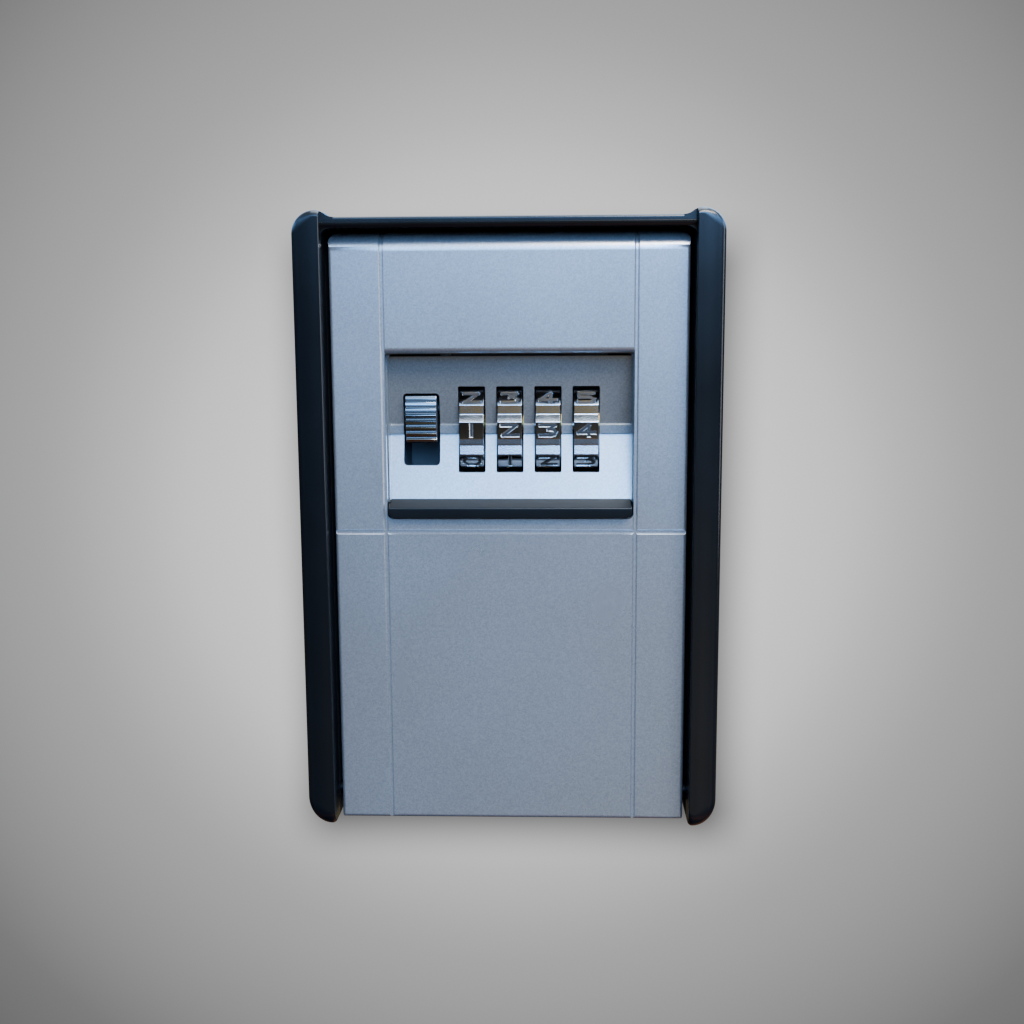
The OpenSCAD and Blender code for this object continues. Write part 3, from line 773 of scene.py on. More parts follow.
@dataclass
class Door:
    """Lacquered die-cast door: rolled top, dial window, decorative grooves, and bosses at the back."""

    wall_t: float = 1.6
    depth: float = 8.5
    roll_r: float = 4.0
    foot_r: float = 0.85
    side_r: float = 0.7
    top_corner_r: float = 2.2
    foot_corner_r: float = 0.8
    window_half_w: float = 24.6
    window_z: Point = (1.5, 34.4)
    window_low_r: float = 1.1
    window_high_r: float = 0.4
    window_fillet: float = 1.2
    groove_w: float = 1.0
    groove_floor_w: float = 0.4
    groove_deep: float = 0.32
    groove_z: float = -1.15
    groove_gap: float = 0.3
    groove_over: float = 0.4
    edge_round: float = 0.18
    post_r: float = 2.1
    post_in: float = 2.0
    post_z: Point = (7, 37)
    boss_r: float = 1.4
    boss_z: tuple[float, ...] = (3.5, 36.4, -4, -28)
    knuckle_r: float = 3.0
    knuckle_w: float = 2.0
    pin_play: float = 0.05
    box: Extent = field(default_factory=lambda: Extent.of("door_front"))

    @property
    def front(self) -> float:
        """Depth of the front face."""
        return self.box.lo.y

    @property
    def back(self) -> float:
        """Depth of the back edge of the walls."""
        return self.front + self.depth

    @property
    def half_w(self) -> float:
        """Half of the door's width."""
        return self.box.hi.x

    def side_outline(self, inset: float) -> Outline:
        """Return the door's outline seen from the side, grown inwards by an inset."""
        lo, hi, r = self.box.lo.z, self.box.hi.z, self.roll_r
        past = 1 if inset else 0
        foot = [(self.front + inset, lo + inset)] if inset else arc(
            (self.front + self.foot_r, lo + self.foot_r), self.foot_r, 180, 270, 6)
        return [(self.back + past, lo + inset), (self.back + past, hi - inset),
                *arc((self.front + r, hi - r), r - inset, 90, 180, 24), *foot]

    def shell(self) -> Carving:
        """Return the open-backed shell with rounded corners."""
        x, lo, hi = self.half_w, self.box.lo.z, self.box.hi.z
        shape = Carving("door_skin", prism(Axis.X, self.side_outline(0), -x, x))
        shape.keep(prism(Axis.Z, rounded_box((-x, self.front), (x, self.back + 3), self.side_r, steps=6),
                         lo - 1, hi + 1))
        shape.keep(prism(Axis.Y, rounded_box((-x, lo), (x, hi), self.foot_corner_r, self.top_corner_r, 12),
                         self.front - 1, self.back + 1))
        in_x = x - self.wall_t
        return shape.cut(prism(Axis.X, self.side_outline(self.wall_t), -in_x, in_x))

    def window(self) -> list[bpy.types.Mesh]:
        """Return the cutters of the window: the opening, and the fillet that rolls into its top edge."""
        z0, z1 = self.window_z
        w, r, y = self.window_half_w, self.window_fillet, self.front
        opening = rounded_box((-w, z0), (w, z1), self.window_low_r, self.window_high_r)
        roll = [(y - 1, z1 - 0.5), (y - 1, z1 + r), *arc((y + r, z1 + r), r, 180, 270, 10),
                (y + r, z1 - 0.5)]
        return [prism(Axis.Y, opening, y - 1, y + self.wall_t + 1),
                prism(Axis.X, roll, -w + 0.02, w - 0.02)]

    def groove_section(self) -> Outline:
        """Return the grooves' section: sideways place, and height over the face, which is negative inside."""
        top, floor, deep = self.groove_w / 2, self.groove_floor_w / 2, self.groove_deep
        over = self.groove_over
        flare = top + (top - floor) * over / deep
        return [(-flare, over), (-top, 0), (-floor, -deep), (floor, -deep), (top, 0), (flare, over)]

    def upright_groove(self, x: float) -> bpy.types.Mesh:
        """Return the cutter of a groove that climbs the front face and follows the rolled top."""
        r, hi = self.roll_r, self.box.hi.z
        centre = (self.front + r, hi - r)
        stations = [((self.front, self.box.lo.z - 1), (-1.0, 0.0))]
        for y, z in arc(centre, r, 180, 90, 16):
            stations.append(((y, z), ((y - centre[0]) / r, (z - centre[1]) / r)))
        stations.append(((self.back + 1, hi), (0.0, 1.0)))
        section = self.groove_section()
        return skin([[Vector((x + u, at[0] + out[0] * v, at[1] + out[1] * v)) for u, v in section]
                     for at, out in stations])

    def level_groove(self) -> bpy.types.Mesh:
        """Return the cutter of the groove that crosses the door below its window."""
        section = [(self.front - v, self.groove_z + u) for u, v in self.groove_section()]
        return prism(Axis.X, section, -self.half_w - 1, self.half_w + 1)

    def bosses(self) -> list[bpy.types.Mesh]:
        """Return the posts and small bosses cast on the inside, with their screw holes left out."""
        skin_y = self.front + self.wall_t - 0.1
        post_x, post_back = self.half_w - self.wall_t - self.post_in, self.box.hi.y
        plate_y = Extent.of("faceplate").lo.y
        boss_x = DialPlate.screw_x()
        posts = [bar(Axis.Y, (side * post_x, z), self.post_r, skin_y, post_back)
                 for side in (-1, 1) for z in self.post_z]
        small = [bar(Axis.Y, (side * boss_x, z), self.boss_r, skin_y, plate_y)
                 for side in (-1, 1) for z in self.boss_z]
        return posts + small

    def knuckles(self) -> list[bpy.types.Mesh]:
        """Return the two round bosses that carry the hinge pins."""
        pins = Extent.of("hinge_pins")
        y, z = pins.middle.y, pins.middle.z
        in_x = self.half_w - self.wall_t
        return both_sides(bar(Axis.X, (y, z), self.knuckle_r, in_x - self.knuckle_w, in_x + 0.1))

    def pin_bores(self) -> list[bpy.types.Mesh]:
        """Return the cutters of the hinge pins' bores."""
        pins = Extent.of("hinge_pins")
        r = (pins.hi.y - pins.lo.y) / 2 + self.pin_play
        in_x = self.half_w - self.wall_t - self.knuckle_w
        return both_sides(bar(Axis.X, (pins.middle.y, pins.middle.z), r, in_x - 1, self.half_w + 1))

    def build(self) -> bpy.types.Object:
        """Build the door and return it."""
        shape = self.shell()
        for cutter in self.window():
            shape.cut(cutter)
        shape.round_edges(self.edge_round, 3, 40)
        shape.cut(*both_sides(self.upright_groove(self.window_half_w + self.groove_gap)))
        shape.cut(self.level_groove())
        shape.add(*self.bosses(), *self.knuckles())
        shape.cut(*self.pin_bores())
        piece = shape.finished()
        dress(piece, Finishes.SILVER_LACQUER)
        return place(piece, "door_front", "silver_paint")


@dataclass
class DialPlate:
    """Lacquered plate behind the window: a shallow folded tray with a raised index rib and slots."""

    plate_t: float = 1.2
    tray_half_w: float = 24.5
    tray_wall: float = 1.2
    tray_top: float = 34.2
    floor_low_z: float = 4.4
    fold_deep: float = 3.7
    high_deep: float = 1.4
    fold_lean: float = 0.2
    rib_half_h: float = 1.07
    rib_proud: float = 0.75
    rib_upper_share: float = 0.75
    rib_slopes: Point = (0.2, 0.3)
    slit_h: float = 0.55
    corner_r: float = 1.1
    edge_round: float = 0.22
    dial_slot: Point = (5.5, 17.4)
    dial_slot_r: float = 0.35
    lever_slot_w: float = 7.4
    lever_slot_z: Point = (11.6, 26.2)
    lever_slot_r: float = 0.8
    screw_hole_r: float = 1.05
    screw_head_r: ClassVar[float] = 1.6
    box: Extent = field(default_factory=lambda: Extent.of("faceplate"))

    @classmethod
    def screw_x(cls) -> float:
        """Return how far the flange's screws stand from the middle."""
        return Extent.of("faceplate_screws").hi.x - cls.screw_head_r

    def floor(self) -> Outline:
        """Return the tray floor's front line seen from the side, from its foot to its top, without the rib."""
        y, mid = self.box.lo.y, Extent.of("dial_1").middle.z
        return [(y, self.floor_low_z), (y + self.fold_deep, mid - self.rib_half_h),
                (y + self.fold_deep - self.fold_lean, mid + self.rib_half_h),
                (y + self.high_deep, self.tray_top)]

    def pocket(self) -> Carving:
        """Return the hollow of the tray as a body of its own."""
        y = self.box.lo.y
        low, fold_low, fold_high, high = self.floor()
        below, above = self.rib_slopes
        rib = [fold_low, (fold_low[0] - self.rib_proud, fold_low[1] + below),
               (fold_high[0] - self.rib_proud * self.rib_upper_share, fold_high[1] - above), fold_high]
        section = [(y - 1, low[1] - 0.02), low, *rib, high, (y - 1, high[1])]
        w = self.tray_half_w
        shape = Carving("pocket", prism(Axis.X, section, -w, w))
        outline = rounded_box((-w, low[1] - 0.02), (w, high[1]), self.corner_r)
        return shape.keep(prism(Axis.Y, outline, y - 2, y + 9))

    def bulk(self) -> list[bpy.types.Mesh]:
        """Return the flat flange and the block that the tray is hollowed from."""
        lo, hi, t = self.box.lo, self.box.hi, self.plate_t
        low, fold_low, fold_high, high = self.floor()
        back = [(lo.y + t / 2, low[1]), (lo.y + t / 2, self.tray_top + t), (high[0] + t, self.tray_top + t),
                (fold_high[0] + t, fold_high[1]), (fold_low[0] + t, fold_low[1]), (lo.y + t, low[1])]
        w = self.tray_half_w + self.tray_wall
        return [block((lo.x, lo.y, lo.z), (hi.x, lo.y + t, hi.z)), prism(Axis.X, back, -w, w)]

    def slots(self) -> list[bpy.types.Mesh]:
        """Return the cutters of the four dial slots and the lever slot."""
        half_w, half_h = self.dial_slot[0] / 2, self.dial_slot[1] / 2
        dials = [Extent.of(f"dial_{number}").middle for number in range(1, 5)]
        outlines = [rounded_box((dial.x - half_w, dial.z - half_h), (dial.x + half_w, dial.z + half_h),
                                self.dial_slot_r) for dial in dials]
        lever, half = self.lever_middle_x(), self.lever_slot_w / 2
        z0, z1 = self.lever_slot_z
        outlines.append(rounded_box((lever - half, z0), (lever + half, z1), self.lever_slot_r))
        return [prism(Axis.Y, outline, self.box.lo.y - 1, self.box.hi.y + 2) for outline in outlines]

    def slit(self) -> bpy.types.Mesh:
        """Return the cutter of the narrow slit between the tray's floor and its roof."""
        w, y = self.tray_half_w - 0.2, self.box.lo.y + self.high_deep
        return block((-w, y - 1, self.tray_top - self.slit_h), (w, y + 3, self.tray_top))

    def lever_middle_x(self) -> float:
        """Return the sideways middle of the lever's drum."""
        return Extent.of("opening_lever").lo.x + OpeningLever.width / 2

    def screw_holes(self) -> list[bpy.types.Mesh]:
        """Return the cutters of the four screw holes in the flange."""
        screws, y, x = Extent.of("faceplate_screws"), self.box.lo.y, self.screw_x()
        heights = (screws.lo.z + self.screw_head_r, screws.hi.z - self.screw_head_r)
        return [bar(Axis.Y, (side * x, z), self.screw_hole_r, y - 1, y + 3)
                for side in (-1, 1) for z in heights]

    def build(self) -> bpy.types.Object:
        """Build the dial plate and return it."""
        flange, tray = self.bulk()
        shape = Carving("dial_plate", flange).add(tray)
        pocket = self.pocket().object
        shape.cut(pocket.data.copy())
        bpy.data.meshes.remove(pocket.data)
        shape.cut(*self.slots(), self.slit())
        shape.cut(*self.screw_holes())
        shape.round_edges(self.edge_round, 3, 25)
        piece = shape.finished()
        # The plate's darker lacquer is painted shade of the window's recess.
        dress(piece, Finishes.SHADED_PLATE_LACQUER)
        return place(piece, "faceplate", "silver_plate")


# ---- Dials and lever -------------------------------------------------------------------------


@dataclass
class NumberDials:
    """Four chrome wheels with ten flat number faces each, and a finger notch between each two faces."""

    faces: int = 10
    face_h: float = 3.4
    notch_deep: float = 0.95
    bore_r: float = 4.0
    key_w: float = 1.4
    key_deep: float = 0.9
    digit_half_w: float = 1.75
    digit_half_h: float = 1.12
    stroke_top: float = 0.78
    stroke_floor: float = 0.5
    stroke_deep: float = 0.12
    stroke_over: float = 0.3
    layer_step: float = 0.002
    edge_mm: float = 0.13

    # Strokes of each number on a square that reaches from -1 to 1 both ways.
    STROKES = {
        0: [[(-0.9, -0.4), (-0.9, 0.4), (-0.45, 0.95), (0.45, 0.95), (0.9, 0.4), (0.9, -0.4), (0.45, -0.95),
             (-0.45, -0.95), (-0.9, -0.4)]],
        1: [[(0, -0.95), (0, 0.95)]],
        2: [[(-0.9, 0.9), (0.75, 0.9), (-0.75, -0.9), (0.95, -0.9)]],
        3: [[(-0.85, 0.9), (0.8, 0.9), (0.05, 0.15), (0.6, 0.1), (0.9, -0.3), (0.75, -0.75), (0.3, -0.95),
             (-0.9, -0.95)]],
        4: [[(0.3, -0.95), (0.3, 0.95), (-0.9, -0.45), (0.95, -0.45)]],
        5: [[(0.85, 0.9), (-0.8, 0.9), (-0.8, 0.1), (0.45, 0.1), (0.9, -0.25), (0.85, -0.7), (0.4, -0.95),
             (-0.85, -0.95)]],
        6: [[(0.7, 0.95), (-0.3, 0.95), (-0.9, 0.3), (-0.9, -0.5), (-0.45, -0.95), (0.45, -0.95), (0.9, -0.6),
             (0.9, -0.25), (0.45, 0.1), (-0.85, 0.1)]],
        7: [[(-0.9, 0.9), (0.9, 0.9), (-0.2, -0.95)]],
        8: [[(-0.4, 0.1), (-0.8, 0.4), (-0.8, 0.65), (-0.4, 0.95), (0.4, 0.95), (0.8, 0.65), (0.8, 0.4),
             (0.4, 0.1), (-0.4, 0.1), (-0.9, -0.3), (-0.9, -0.6), (-0.4, -0.95), (0.4, -0.95), (0.9, -0.6),
             (0.9, -0.3), (0.4, 0.1)]],
        9: [[(-0.7, -0.95), (0.3, -0.95), (0.9, -0.3), (0.9, 0.5), (0.45, 0.95), (-0.45, 0.95), (-0.9, 0.6),
             (-0.9, 0.25), (-0.45, -0.1), (0.85, -0.1)]],
    }

    def __post_init__(self) -> None:
        """Take the wheel's size from the first dial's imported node."""
        box = Extent.of("dial_1")
        self.width = box.hi.x - box.lo.x
        self.axis = (Extent.of("dial_shaft").middle.y, Extent.of("dial_shaft").middle.z)
        self.radius = self.axis[0] - box.lo.y
        self.step = 360 / self.faces

    @property
    def corner_radius(self) -> float:
        """Distance of the number faces' long edges from the axis."""
        return math.hypot(self.radius, self.face_h / 2)

    @property
    def half_face(self) -> float:
        """Half of the angle that a number face takes up, in degrees."""
        return math.degrees(math.atan2(self.face_h / 2, self.radius))

    def turn(self, faces: int) -> Matrix:
        """Return the turn of the wheel by a count of faces."""
        return Matrix.Rotation(math.radians(faces * self.step), 4, "X")

    def wheel(self) -> Carving:
        """Return the plain wheel about the origin, its edges rounded and its bore cut."""
        far = self.corner_radius
        corners = ((-self.half_face, far), (self.half_face, far), (self.step / 2, far - self.notch_deep))
        outline: Outline = []
        for k in range(self.faces):
            for angle, r in corners:
                a = math.radians(k * self.step + angle)
                outline.append((-r * math.cos(a), r * math.sin(a)))
        half_w = self.width / 2
        shape = Carving("number_dial", prism(Axis.X, outline, -half_w, half_w))
        shape.round_edges(self.edge_mm, 2, 20)
        shape.cut(bar(Axis.X, (0, 0), self.bore_r, -half_w - 1, half_w + 1))
        return shape.cut(block((-half_w - 1, -self.key_w / 2, -self.bore_r - self.key_deep),
                               (half_w + 1, self.key_w / 2, 0)))

    def stroke(self, first: Point, last: Point, number: int, layer: int) -> bpy.types.Mesh:
        """Return the tapered cutter of one straight stroke.

        Args:
            first: Start of the stroke on the number's square.
            last: End of the stroke.
            number: Number whose face is cut.
            layer: Place of the stroke in its number. Each is cut a hair deeper, so that no two floors
                coincide.

        Returns:
            The cutter, about the wheel's axis.
        """
        ends = [Vector((p[0] * self.digit_half_w, p[1] * self.digit_half_h)) for p in (first, last)]
        along = (ends[1] - ends[0]).normalized()
        side = Vector((-along.y, along.x))
        turn = self.turn(-number)
        rings = []
        for half, height in ((self.stroke_floor / 2, -self.stroke_deep - self.layer_step * layer),
                             (self.stroke_top / 2, 0.0), (self.stroke_top / 2, self.stroke_over)):
            corners = [ends[0] - along * half - side * half, ends[1] + along * half - side * half,
                       ends[1] + along * half + side * half, ends[0] - along * half + side * half]
            rings.append([turn @ Vector((c.x, -(self.radius + height), c.y)) for c in corners])
        return skin(rings)

    def engrave(self, shape: Carving) -> None:
        """Cut the numbers from 0 to 9 into the wheel, one stroke of each at a time."""
        segments = {number: [pair for line in lines for pair in zip(line, line[1:])]
                    for number, lines in self.STROKES.items()}
        for layer in range(max(len(pairs) for pairs in segments.values())):
            shape.cut(*[self.stroke(*pairs[layer], number, layer)
                        for number, pairs in segments.items() if layer < len(pairs)])

    def assign_finishes(self, piece: bpy.types.Object) -> None:
        """Number the faces' materials: 0 polished, 1 strokes' floors, 2 notches and strokes' flanks, whose
        lighter chrome is painted highlight.
        """
        for polygon in piece.data.polygons:
            x, y, z = polygon.center / MM
            angle, distance = math.degrees(math.atan2(z, -y)), math.hypot(y, z)
            number = round(angle / self.step)
            a = math.radians(number * self.step)
            out = Vector((0, -math.cos(a), math.sin(a)))
            depth = self.radius - Vector((x, y, z)).dot(out)
            faces_out = polygon.normal.dot(out) > 0.95
            in_notch = abs(angle - number * self.step) > self.half_face + 0.5
            if in_notch and distance > self.corner_radius - self.notch_deep - 0.1:
                # Notch slopes take the lighter satin chrome: painted highlight.
                polygon.material_index = 2 if abs(polygon.normal.x) < 0.5 else 0
            elif faces_out and self.stroke_deep * 0.8 < depth < self.stroke_deep * 1.5:
                polygon.material_index = 1
            elif not faces_out and 0 < depth < self.stroke_deep and abs(x) < self.digit_half_w + 0.5:
                polygon.material_index = 2

    def build(self) -> list[bpy.types.Object]:
        """Build the four dials, each turned to its own number, and return them."""
        shape = self.wheel()
        self.engrave(shape)
        master = shape.finished(28)
        dress(master, Finishes.CHROME, Finishes.NUMBER_ENAMEL, Finishes.HIGHLIGHT_SATIN_CHROME)
        self.assign_finishes(master)
        dials = [master, *(master.copy() for _ in range(3))]
        for number, dial in enumerate(dials, 1):
            dial.name = f"number_dial_{number}"
            if number > 1:
                bpy.context.scene.collection.objects.link(dial)
            middle = Extent.of(f"dial_{number}").middle
            dial.matrix_world = Matrix.Translation(Vector((middle.x, *self.axis)) * MM) @ self.turn(number)
            place(dial, f"dial_{number}", "chrome_dial")
        return dials


@dataclass
class OpeningLever:
    """Chrome lever: a ribbed drum sector on a hub, with the peg that draws the bolt."""

    width: float = 6.25
    rib_r: float = 11.5
    rib_deep: float = 0.38
    ribs: int = 8
    # Where a rib's lower flank begins and ends and where its crest ends, as shares of the ribs' pitch.
    rib_shares: tuple[float, float, float] = (0.16, 0.34, 0.82)
    top_angle: float = 22.5
    low_angle: float = -28.6
    heel: float = 1.2
    rim: float = 2.0
    edge_round: float = 0.1
    hub_r: float = 2.9
    hub_lap: float = 0.2
    bore_r: float = 1.31
    peg_arm: float = 6.0
    peg_r: float = 1.0
    peg_angle: float = 14.0
    box: Extent = field(default_factory=lambda: Extent.of("opening_lever"))

    def sector(self, pivot: Point) -> Outline:
        """Return the drum's outline seen from the side: flat crests with sloped flanks between them."""
        pitch = (self.top_angle - self.low_angle) / self.ribs
        points = [(pivot[0] + self.heel, pivot[1])]
        flank, crest, fall = self.rib_shares
        for k in range(self.ribs):
            start = self.low_angle + k * pitch
            for share, deep in ((0.0, 1), (flank, 1), (crest, 0), (fall, 0), (1.0, 1)):
                a, r = math.radians(start + share * pitch), self.rib_r - deep * self.rib_deep
                points.append((pivot[0] - r * math.cos(a), pivot[1] + r * math.sin(a)))
        return points

    def build(self) -> bpy.types.Object:
        """Build the lever and return it."""
        axle = Extent.of("lever_pivot")
        pivot = (axle.middle.y, axle.middle.z)
        x0, x1 = self.box.lo.x, self.box.lo.x + self.width
        shape = Carving("ribbed_lever", prism(Axis.X, self.sector(pivot), x0, x1))
        shape.round_edges(self.edge_round, 2, 20)
        shape.cut(bar(Axis.X, pivot, self.hub_r - self.hub_lap, x0 - 1, x1 + 1))
        shape.add(bar(Axis.X, pivot, self.hub_r, x0, x1))
        angle = math.radians(self.peg_angle)
        peg = (pivot[0] - self.peg_arm * math.cos(angle), pivot[1] + self.peg_arm * math.sin(angle))
        shape.add(bar(Axis.X, peg, self.peg_r, x1 - 0.1, self.box.hi.x, 24))
        shape.cut(bar(Axis.X, pivot, self.bore_r, x0 - 1, x1 + 1))
        piece = shape.finished(28)
        # The lever's darker chrome is painted shade of its slot.
        dress(piece, Finishes.SHADED_LEVER_CHROME, Finishes.SHADED_HUB_CASTING)
        axis = Vector((0, *pivot)) * MM
        # Hub and peg take the darker zinc: painted shade inside the slot.
        for polygon in piece.data.polygons:
            arm = (polygon.center - axis) / MM
            polygon.material_index = 0 if math.hypot(arm.y, arm.z) > self.rib_r - self.rim else 1
        return place(piece, "opening_lever", "chrome_lever")


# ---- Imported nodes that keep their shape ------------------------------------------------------


@dataclass(frozen=True)
class KeptNode:
    """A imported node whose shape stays: its edges are eased by modifiers and it gets its finish."""

    node: str
    finish: Finishes
    edge_mm: float = 0.15
    flat_angle: float = 0.5
    edge_angle: float = 35

    def dress(self) -> bpy.types.Object:
        """Ease the node's edges, give it its finish and return its object."""
        piece = frame["nodes"][self.node]
        weld = piece.modifiers.new("weld", "WELD")
        weld.merge_threshold = WELD
        flat = piece.modifiers.new("flat_faces", "DECIMATE")
        flat.decimate_type = "DISSOLVE"
        flat.angle_limit = math.radians(self.flat_angle)
        if self.edge_mm:
            add_bevel(piece, self.edge_mm, 2, self.edge_angle)
        weighted = piece.modifiers.new("flat_shading", "WEIGHTED_NORMAL")
        weighted.keep_sharp = False
        dress(piece, self.finish)
        log.info("%s: packed node kept, finished as %s", self.node, self.finish.value.name)
        return piece


@dataclass(frozen=True)
class InnerWorks:
    """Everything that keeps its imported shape: case, covers, carrier, latch, springs, cams and screws."""

    pieces: tuple[KeptNode, ...] = (
        KeptNode("rear_case", Finishes.POWDER_COAT, 0.4),
        KeptNode("frame_screws", Finishes.ZINC_PLATE, 0.06),
        KeptNode("strike_plate", Finishes.ROLLED_STEEL, 0.12),
        KeptNode("strike_screws", Finishes.ZINC_PLATE, 0.06),
        KeptNode("hinge_pins", Finishes.BLACKENED_STEEL, 0.12),
        KeptNode("faceplate_screws", Finishes.ZINC_PLATE, 0.06),
        KeptNode("cover_retainer", Finishes.ROLLED_STEEL, 0.1),
        KeptNode("retainer_screws", Finishes.ZINC_PLATE, 0.06),
        KeptNode("brake_pad", Finishes.FELT, 0.1),
        KeptNode("slide_cover", Finishes.COVER_ABS, 0.18),
        # The carrier's darkened zinc is painted shade seen through the lever's slot.
        KeptNode("mechanism_carrier", Finishes.SHADED_CARRIER_CASTING, 0.15),
        KeptNode("carrier_screws", Finishes.ZINC_PLATE, 0.06),
        KeptNode("inner_cover", Finishes.MATT_ABS, 0.3),
        KeptNode("inner_cover_screws", Finishes.ZINC_PLATE, 0.06),
        KeptNode("lever_pivot", Finishes.GROUND_STEEL, 0.1),
        KeptNode("latch_bolt", Finishes.ROLLED_STEEL, 0.1),
        KeptNode("latch_spring", Finishes.SPRING_WIRE, 0.0),
        KeptNode("detent_spring", Finishes.BRONZE_STRIP, 0.04),
        KeptNode("dial_shaft", Finishes.GROUND_STEEL, 0.1),
        *(KeptNode(f"code_cam_{number}", Finishes.TURNED_BRASS, 0.08) for number in range(1, 5)),
        KeptNode("reset_lever", Finishes.ACETAL, 0.2),
    )

    def build(self) -> list[bpy.types.Object]:
        """Finish every kept node and return their objects."""
        return [piece.dress() for piece in self.pieces]


# ---- Studio ----------------------------------------------------------------------------------


@dataclass(frozen=True)
class Lamp:
    """A soft rectangular light: where it hangs, what it points at, its size, colour and power."""

    name: str
    place: tuple[float, float, float]
    target: tuple[float, float, float]
    size: Point
    colour: str
    watts: float

    def hang(self) -> None:
        """Hang the lamp."""
        light = bpy.data.lights.new(self.name, "AREA")
        light.shape = "RECTANGLE"
        light.size, light.size_y = self.size[0] * MM, self.size[1] * MM
        light.color = linear(self.colour)[:3]
        light.energy = self.watts
        lamp = bpy.data.objects.new(self.name, light)
        lamp.location = Vector(self.place) * MM
        lamp.rotation_euler = (Vector(self.target) - Vector(self.place)).to_track_quat("-Z", "Y").to_euler()
        lamp.visible_camera = False
        bpy.context.scene.collection.objects.link(lamp)


@dataclass(frozen=True)
class Studio:
    """Camera, pale floor, a wall with a painted glow and a painted shadow of the box, soft lamps and the room
    that the chrome reflects.
    """

    camera_place: tuple[float, float, float] = (9.8, -299.2, 43.54)
    camera_target: tuple[float, float, float] = (0.39, -43.0, 2.91)
    camera_roll: float = 0.34
    lens_mm: float = 45.7
    sensor_mm: float = 36.0
    sight_m: Point = (0.01, 50)
    wall_y: float = 3.0
    wall_z: float = 700.0
    wall_half: Point = (2500, 1000)
    floor_z: float = -300.0
    squares: int = 8
    lamps: tuple[Lamp, ...] = (
        Lamp("ceiling_light", (0, 60, 620), (0, -20, 0), (420, 600), "#dceaff", 5.0),
        Lamp("key_light", (150, -330, 330), (0, -45, 20), (260, 130), "#fff2e2", 4.0),
        Lamp("side_window", (720, -210, 90), (0, -45, 0), (260, 420), "#f2f6ff", 1.6),
    )
    # The room by height: sine of the direction's elevation, colour, brightness.
    room: tuple[tuple[float, str, float], ...] = (
        (-1.0, "#3a342c", 1.0), (-0.96, "#34363a", 1.0), (-0.9, "#4a4038", 1.0), (-0.8, "#7a4a30", 1.7),
        (-0.69, "#6c4832", 1.7), (-0.56, "#3c3830", 1.3), (-0.42, "#8c8064", 1.0), (-0.3, "#988a6c", 1.0),
        (-0.2, "#605a4c", 1.8), (-0.06, "#302e2c", 2.0), (0.06, "#70747c", 1.0), (0.11, "#84b4f0", 3.6),
        (0.17, "#84bcff", 8.0), (0.24, "#84bcff", 11.0), (0.29, "#84bcff", 18.0), (0.38, "#84bcff", 18.0),
        (0.45, "#84bcff", 9.0), (0.6, "#a8ccf4", 6.0), (0.87, "#b8cce4", 5.0), (1.0, "#b8c8dc", 5.0),
    )
    # The room by side: sideways part of the direction, from the left to the right, and a factor.
    sides: tuple[tuple[float, float], ...] = (
        (-1.0, 0.3), (-0.5, 0.3), (-0.2, 0.46), (-0.05, 0.8), (0.1, 1.5), (0.25, 1.7), (0.4, 1.4), (0.6, 0.6),
        (1.0, 0.4),
    )
    # The room by depth: forward part of the direction, from the front to the back, and a factor.
    depths: tuple[tuple[float, float], ...] = ((-1.0, 1.0), (0.5, 1.0), (0.8, 0.4), (1.0, 0.3))
    # The world behind wall and floor, as the eye sees it.
    far_tone: str = "#b4b4b4"
    # The wall's painted glow: its brightest spot, and the wall by distance from it, in metres, with its tone.
    glow_middle: Point = (-0.0012, -0.0043)
    tones: tuple[tuple[float, str], ...] = (
        (0.0, "#ffffff"), (0.0597, "#ffffff"), (0.0766, "#efefef"), (0.0882, "#d8d8d8"), (0.1038, "#bfbfbf"),
        (0.1123, "#b4b4b4"), (0.1684, "#7c7c7c"), (0.2272, "#505050"),
    )
    # The box's soft shadow, painted on the wall: middle and half size in metres, half of its blur, and its
    # depth.
    shadow_middle: Point = (-0.0003, -0.0127)
    shadow_half: Point = (0.0512, 0.0716)
    shadow_blur: float = 0.0076
    shadow_depth: float = 0.8

    def camera(self) -> None:
        """Set the camera up."""
        data = bpy.data.cameras.new("camera")
        data.lens, data.sensor_width = self.lens_mm, self.sensor_mm
        data.clip_start, data.clip_end = self.sight_m
        camera = bpy.data.objects.new("camera", data)
        forward = (Vector(self.camera_target) - Vector(self.camera_place)).normalized()
        level = forward.cross(Vector((0, 0, 1))).normalized()
        right = Matrix.Rotation(math.radians(self.camera_roll), 3, forward) @ level
        up = right.cross(forward)
        turn = Matrix((right, up, -forward)).transposed().to_4x4()
        camera.matrix_world = Matrix.Translation(Vector(self.camera_place) * MM) @ turn
        bpy.context.scene.collection.objects.link(camera)
        bpy.context.scene.camera = camera

    def sheet(self, name: str, middle: Vector, along: Vector, across: Vector) -> bpy.types.Object:
        """Return a large flat sheet of the stage, subdivided into a grid of squares.

        Args:
            name: Name of the sheet.
            middle: Its middle.
            along: Half of its first side.
            across: Half of its second side.

        Returns:
            The sheet.
        """
        steps = [2 * i / self.squares - 1 for i in range(self.squares + 1)]
        shape = bmesh.new()
        rows = [[shape.verts.new((middle + along * u + across * v) * MM) for u in steps] for v in steps]
        for near, far in zip(rows, rows[1:]):
            for i in range(self.squares):
                shape.faces.new((near[i], near[i + 1], far[i + 1], far[i]))
        mesh = bpy.data.meshes.new(name)
        shape.to_mesh(mesh)
        shape.free()
        sheet = bpy.data.objects.new(name, mesh)
        bpy.context.scene.collection.objects.link(sheet)
        sheet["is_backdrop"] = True
        return sheet

